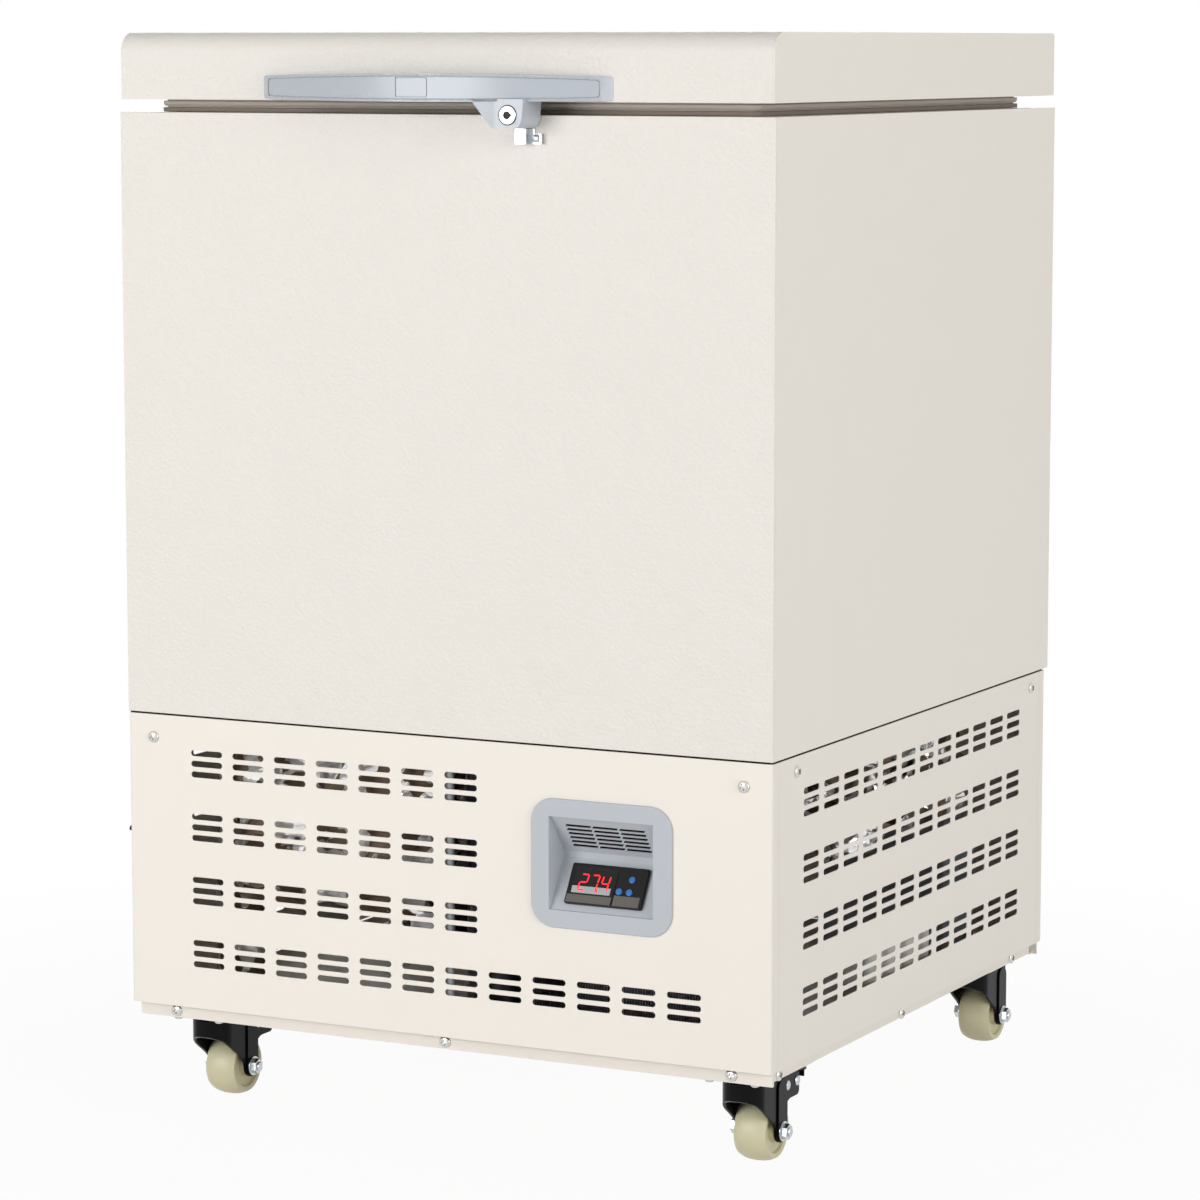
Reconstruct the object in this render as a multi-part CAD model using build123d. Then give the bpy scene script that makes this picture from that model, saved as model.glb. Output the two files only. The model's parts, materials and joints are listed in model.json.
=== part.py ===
from build123d import *
import math
import os

# Chest freezer on casters. Millimetres, +Z up, front towards -Y.
# Everything is first placed from the cabinet's front plane (y = 0), its middle (x = 0)
# and the floor (z = 0), and moved to the middle of the whole outline when it is written.

# Overall sizes
cabinet_width = 592.0
cabinet_depth = 587.0
caster_height = 80.0
skirt_height = 12.0
panel_height = 246.0
panel_seam = 1.5
body_height = 497.0
lid_gap = 10.5
lid_height = 54.0

# Sheet metal and clearances
sheet = 1.0
frame_sheet = 2.0
seat_gap = 0.3
running_fit = 0.05
sheet_seam = 0.1

# Inner tank and insulation
tank_wall = 106.0
tank_depth = 400.0
coil_section = 8.0
coil_turns = 6
coil_pitch = 48.0
collar_thickness = 4.0
probe_radius = 3.0
probe_length = 70.0
probe_rise = 180.0

# Lid
lid_side_gap = 1.2
lid_front_radius = 16.5
lid_rear_radius = 3.0
plug_gap = 14.0
plug_drop = 22.0
gasket_inset = 23.0
gasket_width = 17.0
gasket_groove = 3.0

# Handle, lock and striker
handle_length = 316.0
handle_depth = 40.0
handle_end_depth = 7.0
handle_end_run = 7.0
handle_end_height = 18.2
handle_low_sag = 1.3
handle_top_rise = 2.5
handle_end_round = 2.5
handle_wall = 4.0
handle_roof = 2.5
cover_inset = 2.2
cover_end_inset = 8.5
cover_thickness = 1.2
cover_pocket = 1.5
lock_x = 82.0
lock_top_half = 31.0
lock_bottom_half = 13.5
lock_housing_drop = 20.0
lock_housing_gap = 1.5
lock_face = 32.5
lock_face_half = 10.4
barrel_radius = 7.2
barrel_proud = 0.8
barrel_drop = 10.0
keyway_length = 5.0
keyway_width = 1.2
keyway_depth = 6.0
cam_thickness = 1.5
cam_reach = 17.5
cam_toe = 3.0
cam_arm_start = 131.0
cam_arm_end = 146.0
cam_toe_end = 182.0
cam_hub = 6.5
cam_standoff = 6.0
striker_top_gap = 0.8
striker_height = 12.0
striker_sheet = 1.5
striker_reach = 9.0
striker_flange = 5.0
striker_lip_left = 6.0
striker_web_right = 2.0
striker_width = 13.0
striker_lip_gap = 2.0
striker_screw_radius = 3.4
striker_screw_height = 2.4
striker_screw_rise = 4.4

# Hinges at the back
hinge_x = 190.0
hinge_width = 70.0
hinge_leaf = 2.7
hinge_lap = 0.3
hinge_relief = 1.5
hinge_standoff = 8.0
hinge_rise = 3.5
knuckle_radius = 5.5
pin_radius = 2.5
knuckle_length = 30.0
knuckle_gap = 0.4
cabinet_leaf_height = 60.0
lid_leaf_height = 40.0
lid_leaf_rise = 1.5

# Lower panels and their louvres
wrap_depth = 13.3
panel_corner = 3.0
lower_rear_inset = 7.0
slot_length = 30.0
slot_height = 5.0
slot_step = 9.0
slot_rows = 4
slot_row_pitch = 53.5
slot_low_row = 46.6
front_columns = 12
front_short_columns = 7
front_column_pitch = 40.0
side_columns = 12
side_column_pitch = 39.2
rear_columns = 6
rear_slot_rows = 2

# Base frame and posts
skirt_front_inset = 9.0
skirt_side_inset = 3.0
skirt_rear_gap = 20.0
caster_flange = 96.0
post_leg = 28.0
return_flange = 10.0
screw_head_radius = 5.0
screw_head_height = 2.6
screw_seat = 0.05
panel_screw_inset = 24.5
panel_screw_drop = 19.0
side_screw_front = 45.5
side_screw_rear = 34.0
side_screw_drop = 12.0
frame_screw_inset = 38.5
skirt_screw_front = 20.0
skirt_screw_middle = 24.0
skirt_screw_rear = 66.0

# Control bezel
bezel_x = 147.5
bezel_z = 152.8
bezel_width = 125.4
bezel_height = 104.8
bezel_radius = 20.0
bezel_proud = 2.5
bezel_wall = 2.0
window_width = 92.5
window_height = 75.4
recess_depth = 23.0
crease_share = 0.42
crease_height = 5.0
crease_wall = 1.2
grille_rows = 6
grille_columns = 3
grille_slot_width = 21.5
grille_slot_height = 2.6
grille_column_pitch = 24.0
grille_row_pitch = 4.5
grille_first_row = 9.5

# Controller
controller_width = 68.5
controller_height = 34.5
controller_proud = 3.5
controller_corner = 1.5
case_width = 58.0
case_height = 27.0
case_depth = 42.0
case_gap = 0.5
lens_width = 38.0
lens_height = 21.0
lens_thickness = 0.8
lens_x = -11.5
lens_v = 2.0
key_radius = 2.8
key_gap = 0.25
key_proud = 1.2
key_depth = 2.4
key_travel = 0.7
key_places = {"key_up": (21.4, 6.7), "key_set": (12.2, -4.0), "key_down": (21.3, -4.0)}

# Power switch on the left side and inlet at the back
switch_y = 19.0
switch_z = 142.0
switch_nut_radius = 4.6
switch_nut_height = 2.0
switch_bush_radius = 2.8
switch_body = (13.0, 8.0, 15.0)
switch_room = 2.0
lever_radius = 1.5
lever_tip_radius = 2.2
lever_reach = 12.0
lever_ball = 2.4
lever_throw = 24.0
inlet_x = -210.0
inlet_z = 70.0
inlet_width = 30.0
inlet_height = 23.0
inlet_flange = 3.0
inlet_depth = 24.0
inlet_ear = 10.0
inlet_lip = 3.0
inlet_wall = 3.0
inlet_socket = 17.0
inlet_pin_width = 2.0
inlet_pin_height = 4.0
inlet_pin_setback = 3.0
inlet_pins = ((-7.0, -2.0), (0.0, 3.0), (7.0, -2.0))

# Casters
caster_side_inset = 47.2
caster_front_y = 56.0
caster_rear_inset = 57.0
plate_width = 54.0
plate_length = 72.0
plate_thickness = 3.0
plate_corner = 4.0
trail = 28.0
wheel_radius = 25.5
wheel_width = 28.0
wheel_shoulder = 7.0
wheel_crown = 1.2
wheel_recess = 4.0
wheel_lip = 2.0
hub_radius = 9.0
axle_radius = 4.0
axle_hex_radius = 6.6
axle_hex_height = 5.5
axle_end = 1.5
fork_sheet = 2.5
fork_inner = 15.6
fork_nose = 20.0
fork_nose_radius = 10.0
fork_band = 14.0
leg_half = 9.5
leg_pad = 1.5
leg_pad_inset = 1.0
arch_shift = (7.0, 6.0)
race_radius = 19.0
race_height = 4.0
swivel_gap = 0.3
kingpin_radius = 4.0
kingpin_head = 7.0
kingpin_head_height = 2.0
ear_reach = 34.0
ear_height = 20.0
ear_slope = (6.0, 4.0)
ear_top_drop = 5.0
pedal_length = 52.0
pedal_plate = 2.0
pedal_drop = 1.0
pedal_lip = 9.0
pedal_pivot_y = 11.0
pedal_pivot_drop = 12.0
pedal_pin = 3.0
pedal_shoe = 3.0
cheek_front = 6.0
cheek_low = 2.0
cheek_gap = 3.0
shoe_gap = 2.6
shoe_angle = 53.0
rivet_spacing = 19.0
rivet_radius = 4.2
rivet_height = 1.6

# Refrigeration and wiring in the lower compartment
compressor_x = -130.0
compressor_rear_inset = 200.0
compressor_radius = 76.0
compressor_height = 168.0
compressor_foot = (206.0, 150.0)
compressor_foot_sheet = 3.0
seam_rise = 70.0
seam_height = 4.0
seam_proud = 3.0
terminal_reach = 22.0
terminal_width = 56.0
terminal_rise = 40.0
terminal_height = 60.0
grommet_radius = 10.0
grommet_height = 12.0
grommet_neck = 6.0
grommet_cap = 4.0
grommet_inset = 14.0
condenser_x = 125.0
condenser_width = 240.0
condenser_front = 92.0
condenser_depth = 52.0
condenser_height = 198.0
fin_pitch = 10.0
fin_thickness = 1.4
fin_core = 6.0
condenser_header = 5.0
shroud_depth = 14.0
shroud_sheet = 1.5
fan_radius = 84.0
fan_tip_gap = 4.0
fan_hub_radius = 22.0
fan_hub_length = 16.0
fan_blades = 5
fan_blade_pitch = 32.0
fan_blade_width = 34.0
fan_blade_thickness = 1.6
fan_motor_radius = 32.0
fan_motor_length = 46.0
fan_shaft_radius = 3.0
fan_shaft_gap = 1.0
fan_strut = 10.0
pipe_radius = 4.0
pipe_bend = 12.0
discharge_rise = 108.0
discharge_reach = 40.0
suction_rise = 22.0
suction_run = 140.0
drier_radius = 9.5
drier_length = 110.0
drier_x = 10.0
drier_y = 300.0
drier_rise = 20.0
drier_taper = 4.0
drier_stem = 2.5
drier_stem_over = 18.0
control_box_size = (120.0, 70.0, 130.0)
control_box_side_inset = 106.0
control_box_rear_inset = 80.0
control_box_corner = 4.0
wrap_radius = 24.0
wrap_bend = 34.0
wrap_start_x = -240.0
wrap_end_x = -20.0
wrap_y = 90.0
wrap_rise = 155.0

# Levels and planes worked out from the sizes above
half_width = cabinet_width / 2
panel_bottom = caster_height + skirt_height
panel_top = panel_bottom + panel_height
body_bottom = panel_top + panel_seam
body_top = body_bottom + body_height
lid_bottom = body_top + lid_gap
lid_top = lid_bottom + lid_height
half_lid = half_width - lid_side_gap
lower_rear = cabinet_depth - lower_rear_inset
lower_middle = lower_rear / 2
tank_width = cabinet_width - 2 * tank_wall
tank_front = tank_wall
tank_rear = cabinet_depth - tank_wall
tank_bottom = body_top - tank_depth
tank_middle = (tank_front + tank_rear) / 2
caster_x = half_width - caster_side_inset
caster_rear_y = cabinet_depth - caster_rear_inset
compressor_y = lower_rear - compressor_rear_inset
control_box_x = half_width - control_box_side_inset
control_box_y = lower_rear - control_box_rear_inset
hinge_y = cabinet_depth + hinge_standoff
hinge_z = body_top + hinge_rise
barrel_z = lid_bottom - barrel_drop
front_reach = max(handle_depth, lock_face + barrel_proud)
back_reach = hinge_y + knuckle_radius
origin_y = (back_reach - front_reach) / 2


def block(x0, x1, y0, y1, z0, z1):
    """A box between two corners."""
    middle = Pos((x0 + x1) / 2, (y0 + y1) / 2, (z0 + z1) / 2)
    return middle * Box(x1 - x0, y1 - y0, z1 - z0)


def prism_x(points, x0, x1):
    """An outline of (y, z) points between two x."""
    face = make_face(Polyline(*points, close=True))
    return extrude(Plane.YZ.offset(x0) * face, amount=x1 - x0)


def prism_y(points, y0, y1):
    """An outline of (x, z) points between two y."""
    face = make_face(Polyline(*points, close=True))
    return extrude(Plane.XZ.offset(-y0) * face, amount=y0 - y1)


def rod_x(x0, x1, y, z, radius):
    """A round bar along x."""
    return extrude(Plane.YZ.offset(x0) * Pos(y, z) * Circle(radius), amount=x1 - x0)


def rod_y(y0, y1, x, z, radius):
    """A round bar along y."""
    return extrude(Plane.XZ.offset(-y0) * Pos(x, z) * Circle(radius), amount=y0 - y1)


def rod_z(z0, z1, x, y, radius):
    """A round bar along z."""
    return extrude(Plane.XY.offset(z0) * Pos(x, y) * Circle(radius), amount=z1 - z0)


def gather(shapes):
    """One node of several separate solids."""
    return Compound([s for shape in shapes for s in shape.solids()])


def write(node, shape):
    """Save one node, moved so that the outline's middle is the origin."""
    moved = [Pos(0, -origin_y, 0) * solid for solid in shape.solids()]
    export_step(moved[0] if len(moved) == 1 else Compound(moved), f"parts/{node}.step")


# Upper cabinet


def cabinet_front():
    front = block(-half_width, half_width, 0, sheet, body_bottom, body_top)
    edges = front.edges().filter_by(Axis.Z).group_by(Axis.Y)[0]
    return fillet(edges, sheet * 0.9)


def cabinet_sides():
    side_front = sheet + sheet_seam
    side_rear = cabinet_depth - sheet - sheet_seam
    inner = half_width - sheet
    left = block(-half_width, -inner, side_front, side_rear, body_bottom, body_top)
    right = block(inner, half_width, side_front, side_rear, body_bottom, body_top)
    return gather([left, right])


def cabinet_back():
    """Back sheet, and the floor sheet that closes the body underneath."""
    rear = cabinet_depth
    back = block(-half_width, half_width, rear - sheet, rear, body_bottom, body_top)
    inner = half_width - sheet
    floor_rear = rear - sheet - sheet_seam
    floor = block(-inner, inner, sheet, floor_rear, body_bottom, body_bottom + sheet)
    return gather([back, floor])


def rim_collar():
    """Plastic frame over the foam, from the outer sheets to the tank's mouth."""
    inner = half_width - sheet
    top = body_top
    under = body_top - collar_thickness
    ring = block(-inner, inner, sheet, cabinet_depth - sheet, under, top)
    half_tank = tank_width / 2
    mouth = block(-half_tank, half_tank, tank_front, tank_rear, under, top)
    return ring - mouth


def tank_box(offset, bottom):
    """The tank's inner box grown by an offset, open upwards to the collar."""
    half = tank_width / 2 + offset
    top = body_top - collar_thickness
    return block(-half, half, tank_front - offset, tank_rear + offset, bottom, top)


def foam_insulation():
    inner = half_width - sheet
    top = body_top - collar_thickness
    rear = cabinet_depth - sheet
    block_of_foam = block(-inner, inner, sheet, rear, body_bottom + sheet, top)
    return block_of_foam - tank_box(sheet + coil_section, tank_bottom - sheet)


def liner_tank():
    return tank_box(sheet, tank_bottom - sheet) - tank_box(0, tank_bottom)


def evaporator_coil():
    """Flattened tube wound round the tank, its turns joined by risers."""
    turns = []
    inner = tank_box(sheet, tank_bottom)
    outer = tank_box(sheet + coil_section, tank_bottom)
    half = tank_width / 2 + sheet
    for turn in range(coil_turns):
        low = tank_bottom + coil_pitch * (turn + 0.5)
        slab = block(-half_width, half_width, 0, cabinet_depth, low, low + coil_section)
        turns.append((outer - inner) & slab)
    coil = turns[0]
    for turn in turns[1:]:
        coil = coil + turn
    for turn in range(coil_turns - 1):
        low = tank_bottom + coil_pitch * (turn + 0.5) + coil_section
        side = 1 if turn % 2 else -1
        near = half * side
        far = (half + coil_section) * side
        y0 = tank_middle - coil_section / 2
        riser_top = low + coil_pitch - coil_section
        riser = block(min(near, far), max(near, far), y0, y0 + coil_section, low, riser_top)
        coil = coil + riser
    return coil


def temperature_probe():
    """Sheathed sensor clipped to the tank's right wall."""
    x = tank_width / 2 - probe_radius
    low = tank_bottom + probe_rise
    return rod_z(low, low + probe_length, x, tank_middle, probe_radius)


# Lid


def lid_outline(inset):
    """Side outline of the lid, brought in by an inset."""
    front = inset
    rear = cabinet_depth - inset
    top = lid_top - inset
    radius = lid_front_radius - inset
    rear_radius = lid_rear_radius - inset
    edges = [
        Line((front, lid_bottom), (front, top - radius)),
        RadiusArc((front, top - radius), (front + radius, top), radius),
        Line((front + radius, top), (rear - rear_radius, top)),
        RadiusArc((rear - rear_radius, top), (rear, top - rear_radius), rear_radius),
        Line((rear, top - rear_radius), (rear, lid_bottom)),
        Line((rear, lid_bottom), (front, lid_bottom)),
    ]
    return make_face(edges)


def lid_slice(inset, x0, x1):
    return extrude(Plane.YZ.offset(x0) * lid_outline(inset), amount=x1 - x0)


def lid_top_sheet():
    """Front, top and back of the lid in one bent sheet."""
    half = half_lid - sheet
    return lid_slice(0, -half, half) - lid_slice(sheet, -half, half)


def lid_ends():
    inner = half_lid - sheet
    return gather([lid_slice(0, -half_lid, -inner), lid_slice(0, inner, half_lid)])


def plug_block(inset, bottom, top):
    half = tank_width / 2 - plug_gap - inset
    front = tank_front + plug_gap + inset
    rear = tank_rear - plug_gap - inset
    return block(-half, half, front, rear, bottom, top)


def lid_liner():
    """Inner sheet of the lid, pressed down into a plug over the tank's mouth."""
    half = half_lid - sheet
    rear = cabinet_depth - sheet
    liner_top = lid_bottom + sheet
    plate = block(-half, half, sheet, rear, lid_bottom, liner_top)
    plug = plug_block(0, lid_bottom - plug_drop, lid_bottom)
    hollow = plug_block(sheet, lid_bottom - plug_drop + sheet, liner_top)
    return plate + plug - hollow


def lid_foam():
    half = half_lid - sheet
    fill = lid_slice(sheet, -half, half)
    above = block(-half, half, 0, cabinet_depth, lid_bottom + sheet, lid_top)
    plug = plug_block(sheet, lid_bottom - plug_drop + sheet, lid_bottom + sheet)
    return (fill & above) + plug


def gasket_ring(inset, width, z0, z1):
    half = half_lid - inset
    front = inset
    rear = cabinet_depth - inset
    ring = block(-half, half, front, rear, z0, z1)
    inner = block(-half + width, half - width, front + width, rear - width, z0, z1)
    return ring - inner


def lid_gasket():
    """Mitred seal with a groove between its two lips."""
    low = body_top + seat_gap
    ring = gasket_ring(gasket_inset, gasket_width, low, lid_bottom)
    middle = (low + lid_bottom) / 2
    groove = gasket_ring(
        gasket_inset, gasket_groove, middle - gasket_groove / 4, middle + gasket_groove / 4
    )
    return ring - groove


# Handle and lock


def handle_face(inset, end_inset):
    """Front outline of the handle: a shallow arch with a lower edge that sags."""
    half = handle_length / 2 - end_inset
    low_middle = lid_bottom + inset
    low_end = low_middle + handle_low_sag
    high_end = lid_bottom + handle_low_sag + handle_end_height - inset
    high_middle = high_end + handle_top_rise
    edges = [
        ThreePointArc((-half, low_end), (0, low_middle), (half, low_end)),
        Line((half, low_end), (half, high_end)),
        ThreePointArc((half, high_end), (0, high_middle), (-half, high_end)),
        Line((-half, high_end), (-half, low_end)),
    ]
    outline = make_face(edges)
    return fillet(outline.vertices(), handle_end_round)


def handle_plan(rear):
    """Plan of the handle: bowed front between short slanted ends, back to a rear line."""
    half = handle_length / 2
    shoulder = half - handle_end_run
    edges = [
        Line((-half, rear), (-half, 0)),
        Line((-half, 0), (-shoulder, -handle_end_depth)),
        ThreePointArc((-shoulder, -handle_end_depth), (0, -handle_depth),
                      (shoulder, -handle_end_depth)),
        Line((shoulder, -handle_end_depth), (half, 0)),
        Line((half, 0), (half, rear)),
        Line((half, rear), (-half, rear)),
    ]
    return make_face(edges)


def handle_bow(inset, low, high):
    """The bowed plan brought in by an inset, as a block between two levels."""
    plan = handle_plan(max(inset, 1))
    if inset > 0:
        plan = offset(plan, amount=-inset)
    body = extrude(Plane.XY.offset(low) * plan, amount=high - low)
    half = handle_length / 2
    return body & block(-half, half, -handle_depth, 0, low, high)


def handle_strip(inset, end_inset, y_from, y_to):
    """Layer of the bowed front between two depths, inside an inset front outline."""
    low = lid_bottom
    high = lid_top
    layer = handle_bow(y_from, low, high) - handle_bow(y_to, low - 1, high + 1)
    face = extrude(Plane.XZ * handle_face(inset, end_inset), amount=handle_depth)
    return layer & face


def lock_housing():
    """Tapered housing below the grip, with a flat face round the barrel."""
    low = lid_bottom - lock_housing_drop
    high = lid_bottom + handle_roof
    points = [
        (lock_x - lock_top_half, high),
        (lock_x - lock_top_half, lid_bottom),
        (lock_x - lock_bottom_half, low),
        (lock_x + lock_bottom_half, low),
        (lock_x + lock_top_half, lid_bottom),
        (lock_x + lock_top_half, high),
    ]
    housing = prism_y(points, -handle_depth, -lock_housing_gap) & handle_bow(0, low, high)
    left = lock_x - lock_face_half
    right = lock_x + lock_face_half
    return housing + block(left, right, -lock_face, -lock_housing_gap, low, high)


def handle_body():
    """Moulded grip, bowed outwards, hollow behind its front wall and open below."""
    high_end = lid_bottom + handle_low_sag + handle_end_height
    face = extrude(Plane.XZ * handle_face(0, 0), amount=handle_depth)
    shell = handle_bow(0, lid_bottom, lid_top) & face
    shell = shell - handle_bow(handle_wall, lid_bottom - 1, high_end - handle_roof)
    shell = shell - handle_strip(cover_inset, cover_end_inset, 0, cover_pocket)
    cam_front = -cam_standoff - seat_gap
    sweep = rod_y(cam_front, 0, lock_x, barrel_z, cam_reach + 1)
    bore = rod_y(-handle_depth, 0, lock_x, barrel_z, barrel_radius + running_fit)
    return shell + lock_housing() - sweep - bore


def handle_cover():
    """Cover strip laid in the pocket of the grip's front."""
    clear = cover_inset + seat_gap
    outer = cover_pocket - cover_thickness
    return handle_strip(clear, cover_end_inset + seat_gap, outer, cover_pocket)


def lock_barrel():
    front = -lock_face - barrel_proud
    barrel = rod_y(front, -cam_standoff, lock_x, barrel_z, barrel_radius)
    half_length = keyway_length / 2
    half_width_of_key = keyway_width / 2
    keyway = block(lock_x - half_length, lock_x + half_length, front, front + keyway_depth,
                   barrel_z - half_width_of_key, barrel_z + half_width_of_key)
    return barrel - keyway


def cam_sector(start, end, y0, y1):
    """Wedge from the barrel's middle between two angles, wider than the cam."""
    points = [(lock_x, barrel_z)]
    far = cam_reach * 2
    for degrees in (start, (start + end) / 2, end):
        angle = math.radians(degrees)
        points.append((lock_x + far * math.cos(angle), barrel_z + far * math.sin(angle)))
    return prism_y(points, y0, y1)


def lock_cam():
    """Hook that swings under the striker's lip, shown unlocked."""
    y0 = -cam_standoff
    y1 = y0 + cam_thickness
    disc = rod_y(y0, y1, lock_x, barrel_z, cam_hub)
    swept = rod_y(y0, y1, lock_x, barrel_z, cam_reach)
    rim = swept - rod_y(y0, y1, lock_x, barrel_z, cam_reach - cam_toe)
    toe = rim & cam_sector(cam_arm_start, cam_toe_end, y0, y1)
    arm = swept & cam_sector(cam_arm_start, cam_arm_end, y0, y1)
    return disc + toe + arm


def lock_striker():
    """Stamped catch on the cabinet's front, with the lip that the cam goes under."""
    top = lid_bottom - lock_housing_drop - striker_top_gap
    low = top - striker_height
    left = lock_x + striker_web_right
    right = left + striker_width
    lip_left = lock_x - striker_lip_left
    base = block(left, right, -striker_sheet, 0, low, top)
    flange = block(right - striker_sheet, right, -striker_flange, 0, low, top)
    web = block(left, left + striker_sheet, -striker_reach, 0, low, top)
    tab_front = -striker_reach
    tab_back = tab_front + striker_sheet
    tab = block(lip_left, left + striker_sheet, tab_front, tab_back, low, top)
    lip = block(lip_left, left, tab_front, -striker_lip_gap, top - striker_sheet, top)
    screw_x = (left + right) / 2
    screw = rod_y(-striker_sheet - striker_screw_height, -striker_sheet, screw_x,
                  low + striker_screw_rise, striker_screw_radius)
    return gather([base + flange + web + tab + lip, screw])


# Hinges


def hinge_places():
    return [-hinge_x, hinge_x]


def knuckle(x0, x1):
    return rod_x(x0, x1, hinge_y, hinge_z, knuckle_radius)


def hinge_bore(x, radius):
    return rod_x(x - hinge_width, x + hinge_width, hinge_y, hinge_z, radius)


def hinge_cabinet_leaf(x):
    """Leaf on the cabinet's back, with a knuckle at each end."""
    half = hinge_width / 2
    inner = knuckle_length / 2 + knuckle_gap
    top = hinge_z
    low = top - cabinet_leaf_height
    back = cabinet_depth
    leaf = block(x - half, x + half, back, back + hinge_leaf, low, top)
    relief = block(
        x - inner, x + inner, back, back + hinge_leaf, hinge_z - knuckle_radius - hinge_relief, top
    )
    leaf = leaf - relief
    web_low = hinge_z - knuckle_radius + hinge_lap
    for x0, x1 in ((x - half, x - inner), (x + inner, x + half)):
        leaf = leaf + knuckle(x0, x1)
        leaf = leaf + block(x0, x1, back, hinge_y, web_low, web_low + hinge_leaf)
    return leaf - hinge_bore(x, pin_radius)


def hinge_lid_leaf(x):
    """Leaf on the lid's back, with the middle knuckle."""
    half = hinge_width / 2
    mid = knuckle_length / 2
    back = cabinet_depth
    low = lid_bottom + lid_leaf_rise
    web_top = hinge_z + knuckle_radius - hinge_lap
    plate = block(x - half, x + half, back, back + hinge_leaf, low, low + lid_leaf_height)
    neck = block(x - mid, x + mid, back, back + hinge_leaf, web_top - hinge_leaf, low)
    web = block(x - mid, x + mid, back, hinge_y, web_top - hinge_leaf, web_top)
    leaf = plate + neck + web + knuckle(x - mid, x + mid)
    return leaf - hinge_bore(x, pin_radius + running_fit)


def hinge_pin(x):
    half = hinge_width / 2
    return rod_x(x - half, x + half, hinge_y, hinge_z, pin_radius)


# Lower panels


def slot_centres(columns, pitch, short_columns, rows):
    """Centres of all slots, measured from the pattern's middle and the panel's foot."""
    first = -pitch * (columns - 1) / 2
    for row in range(rows):
        used = columns if row == 0 else short_columns
        for column in range(used):
            for step in (-1, 0, 1):
                height = slot_low_row + row * slot_row_pitch + step * slot_step
                yield (first + column * pitch, height)


def slot_field(columns, pitch, short_columns, rows=slot_rows):
    """Face of all the slots of one panel, in its own plane."""
    slots = [
        Pos(u, v) * Rectangle(slot_length, slot_height)
        for u, v in slot_centres(columns, pitch, short_columns, rows)
    ]
    return Sketch() + slots


def wrapped_panel(face_y, inward):
    """Panel folded round both corners, from its face towards the side panels."""
    half = half_width
    depth = wrap_depth
    outer = Rectangle(2 * half, depth)
    near = outer.vertices().group_by(Axis.Y)[0]
    outer = fillet(near, panel_corner)
    inner = Pos(0, sheet) * Rectangle(2 * (half - sheet), depth)
    near = inner.vertices().group_by(Axis.Y)[0]
    inner = fillet(near, panel_corner - sheet)
    fold = Pos(0, depth / 2) * (outer - inner)
    fold = fold if inward > 0 else mirror(fold, Plane.XZ)
    plane = Plane.XY.offset(panel_bottom)
    return extrude(plane * Pos(0, face_y) * fold, amount=panel_height)


def panel_return(face_y, inward):
    """Foot flange of a wrapped panel, resting on the tray between the posts."""
    half = half_width - skirt_side_inset - post_leg - seat_gap
    near = face_y + inward * sheet
    far = face_y + inward * (return_flange + sheet)
    return block(-half, half, min(near, far), max(near, far), panel_bottom, panel_bottom + sheet)


def front_panel():
    panel = wrapped_panel(0, 1) + panel_return(0, 1)
    field = slot_field(front_columns, front_column_pitch, front_short_columns)
    plane = Plane.XZ.offset(1) * Pos(0, panel_bottom)
    slots = extrude(plane * field, amount=-(sheet + 2))
    hole = bezel_recess(bezel_wall + seat_gap, sheet)
    return panel - slots - hole


def rear_panel():
    panel = wrapped_panel(lower_rear, -1) + panel_return(lower_rear, -1)
    field = slot_field(rear_columns, front_column_pitch, rear_columns, rear_slot_rows)
    plane = Plane.XZ.offset(-lower_rear + sheet + 1) * Pos(0, panel_bottom)
    shift = Pos(half_width / 3, slot_row_pitch)
    slots = extrude(plane * shift * field, amount=-(sheet + 2))
    return panel - slots - inlet_hole()


def side_panel(side):
    """Flat louvred panel between the folds of the front and rear panels."""
    y0 = wrap_depth + seat_gap
    y1 = lower_rear - wrap_depth - seat_gap
    outer = half_width
    x0 = min(side * outer, side * (outer - sheet))
    middle = (y0 + y1) / 2
    plate = Pos(middle, panel_bottom + panel_height / 2) * Rectangle(y1 - y0, panel_height)
    field = Pos(middle, panel_bottom) * slot_field(side_columns, side_column_pitch, side_columns)
    panel = extrude(Plane.YZ.offset(x0) * (plate - field), amount=sheet)
    far = side * (outer - sheet - return_flange)
    near = side * (outer - sheet)
    foot_front = skirt_front_inset + post_leg + seat_gap
    foot_rear = lower_rear - frame_sheet - post_leg - seat_gap
    foot_x = sorted((far, near))
    panel = panel + block(*foot_x, foot_front, foot_rear, panel_bottom, panel_bottom + sheet)
    if side < 0:
        hole = rod_x(x0, x0 + sheet, switch_y, panel_bottom + switch_z, switch_bush_radius)
        panel = panel - hole
    return panel


def base_frame():
    """Welded tray: floor, skirts, flanges for the casters and four corner posts."""
    half = half_width - skirt_side_inset
    front = skirt_front_inset
    rear = lower_rear - frame_sheet
    low = caster_height
    floor_low = panel_bottom - frame_sheet
    frame = block(-half, half, front, rear, floor_low, panel_bottom)
    frame = frame + block(-half, half, front, front + frame_sheet, low, floor_low)
    frame = frame + block(-half, half, rear - frame_sheet, rear, low, floor_low)
    side_rear = lower_rear - skirt_rear_gap - frame_sheet
    for side in (-1, 1):
        x0 = min(side * half, side * (half - frame_sheet))
        frame = frame + block(x0, x0 + frame_sheet, front, side_rear, low, floor_low)
    front_flange = block(-half, half, front, front + caster_flange, low, low + frame_sheet)
    rear_flange = block(-half, half, rear - caster_flange, rear, low, low + frame_sheet)
    corner_notch = [
        block(side * half - frame_sheet * 2, side * half + frame_sheet * 2,
              side_rear, rear - frame_sheet, low, floor_low)
        for side in (-1, 1)
    ]
    frame = frame + (front_flange + rear_flange - corner_notch)
    for side in (-1, 1):
        frame = frame + corner_post(side, front, 1) + corner_post(side, rear, -1)
    return frame - switch_notch()


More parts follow.
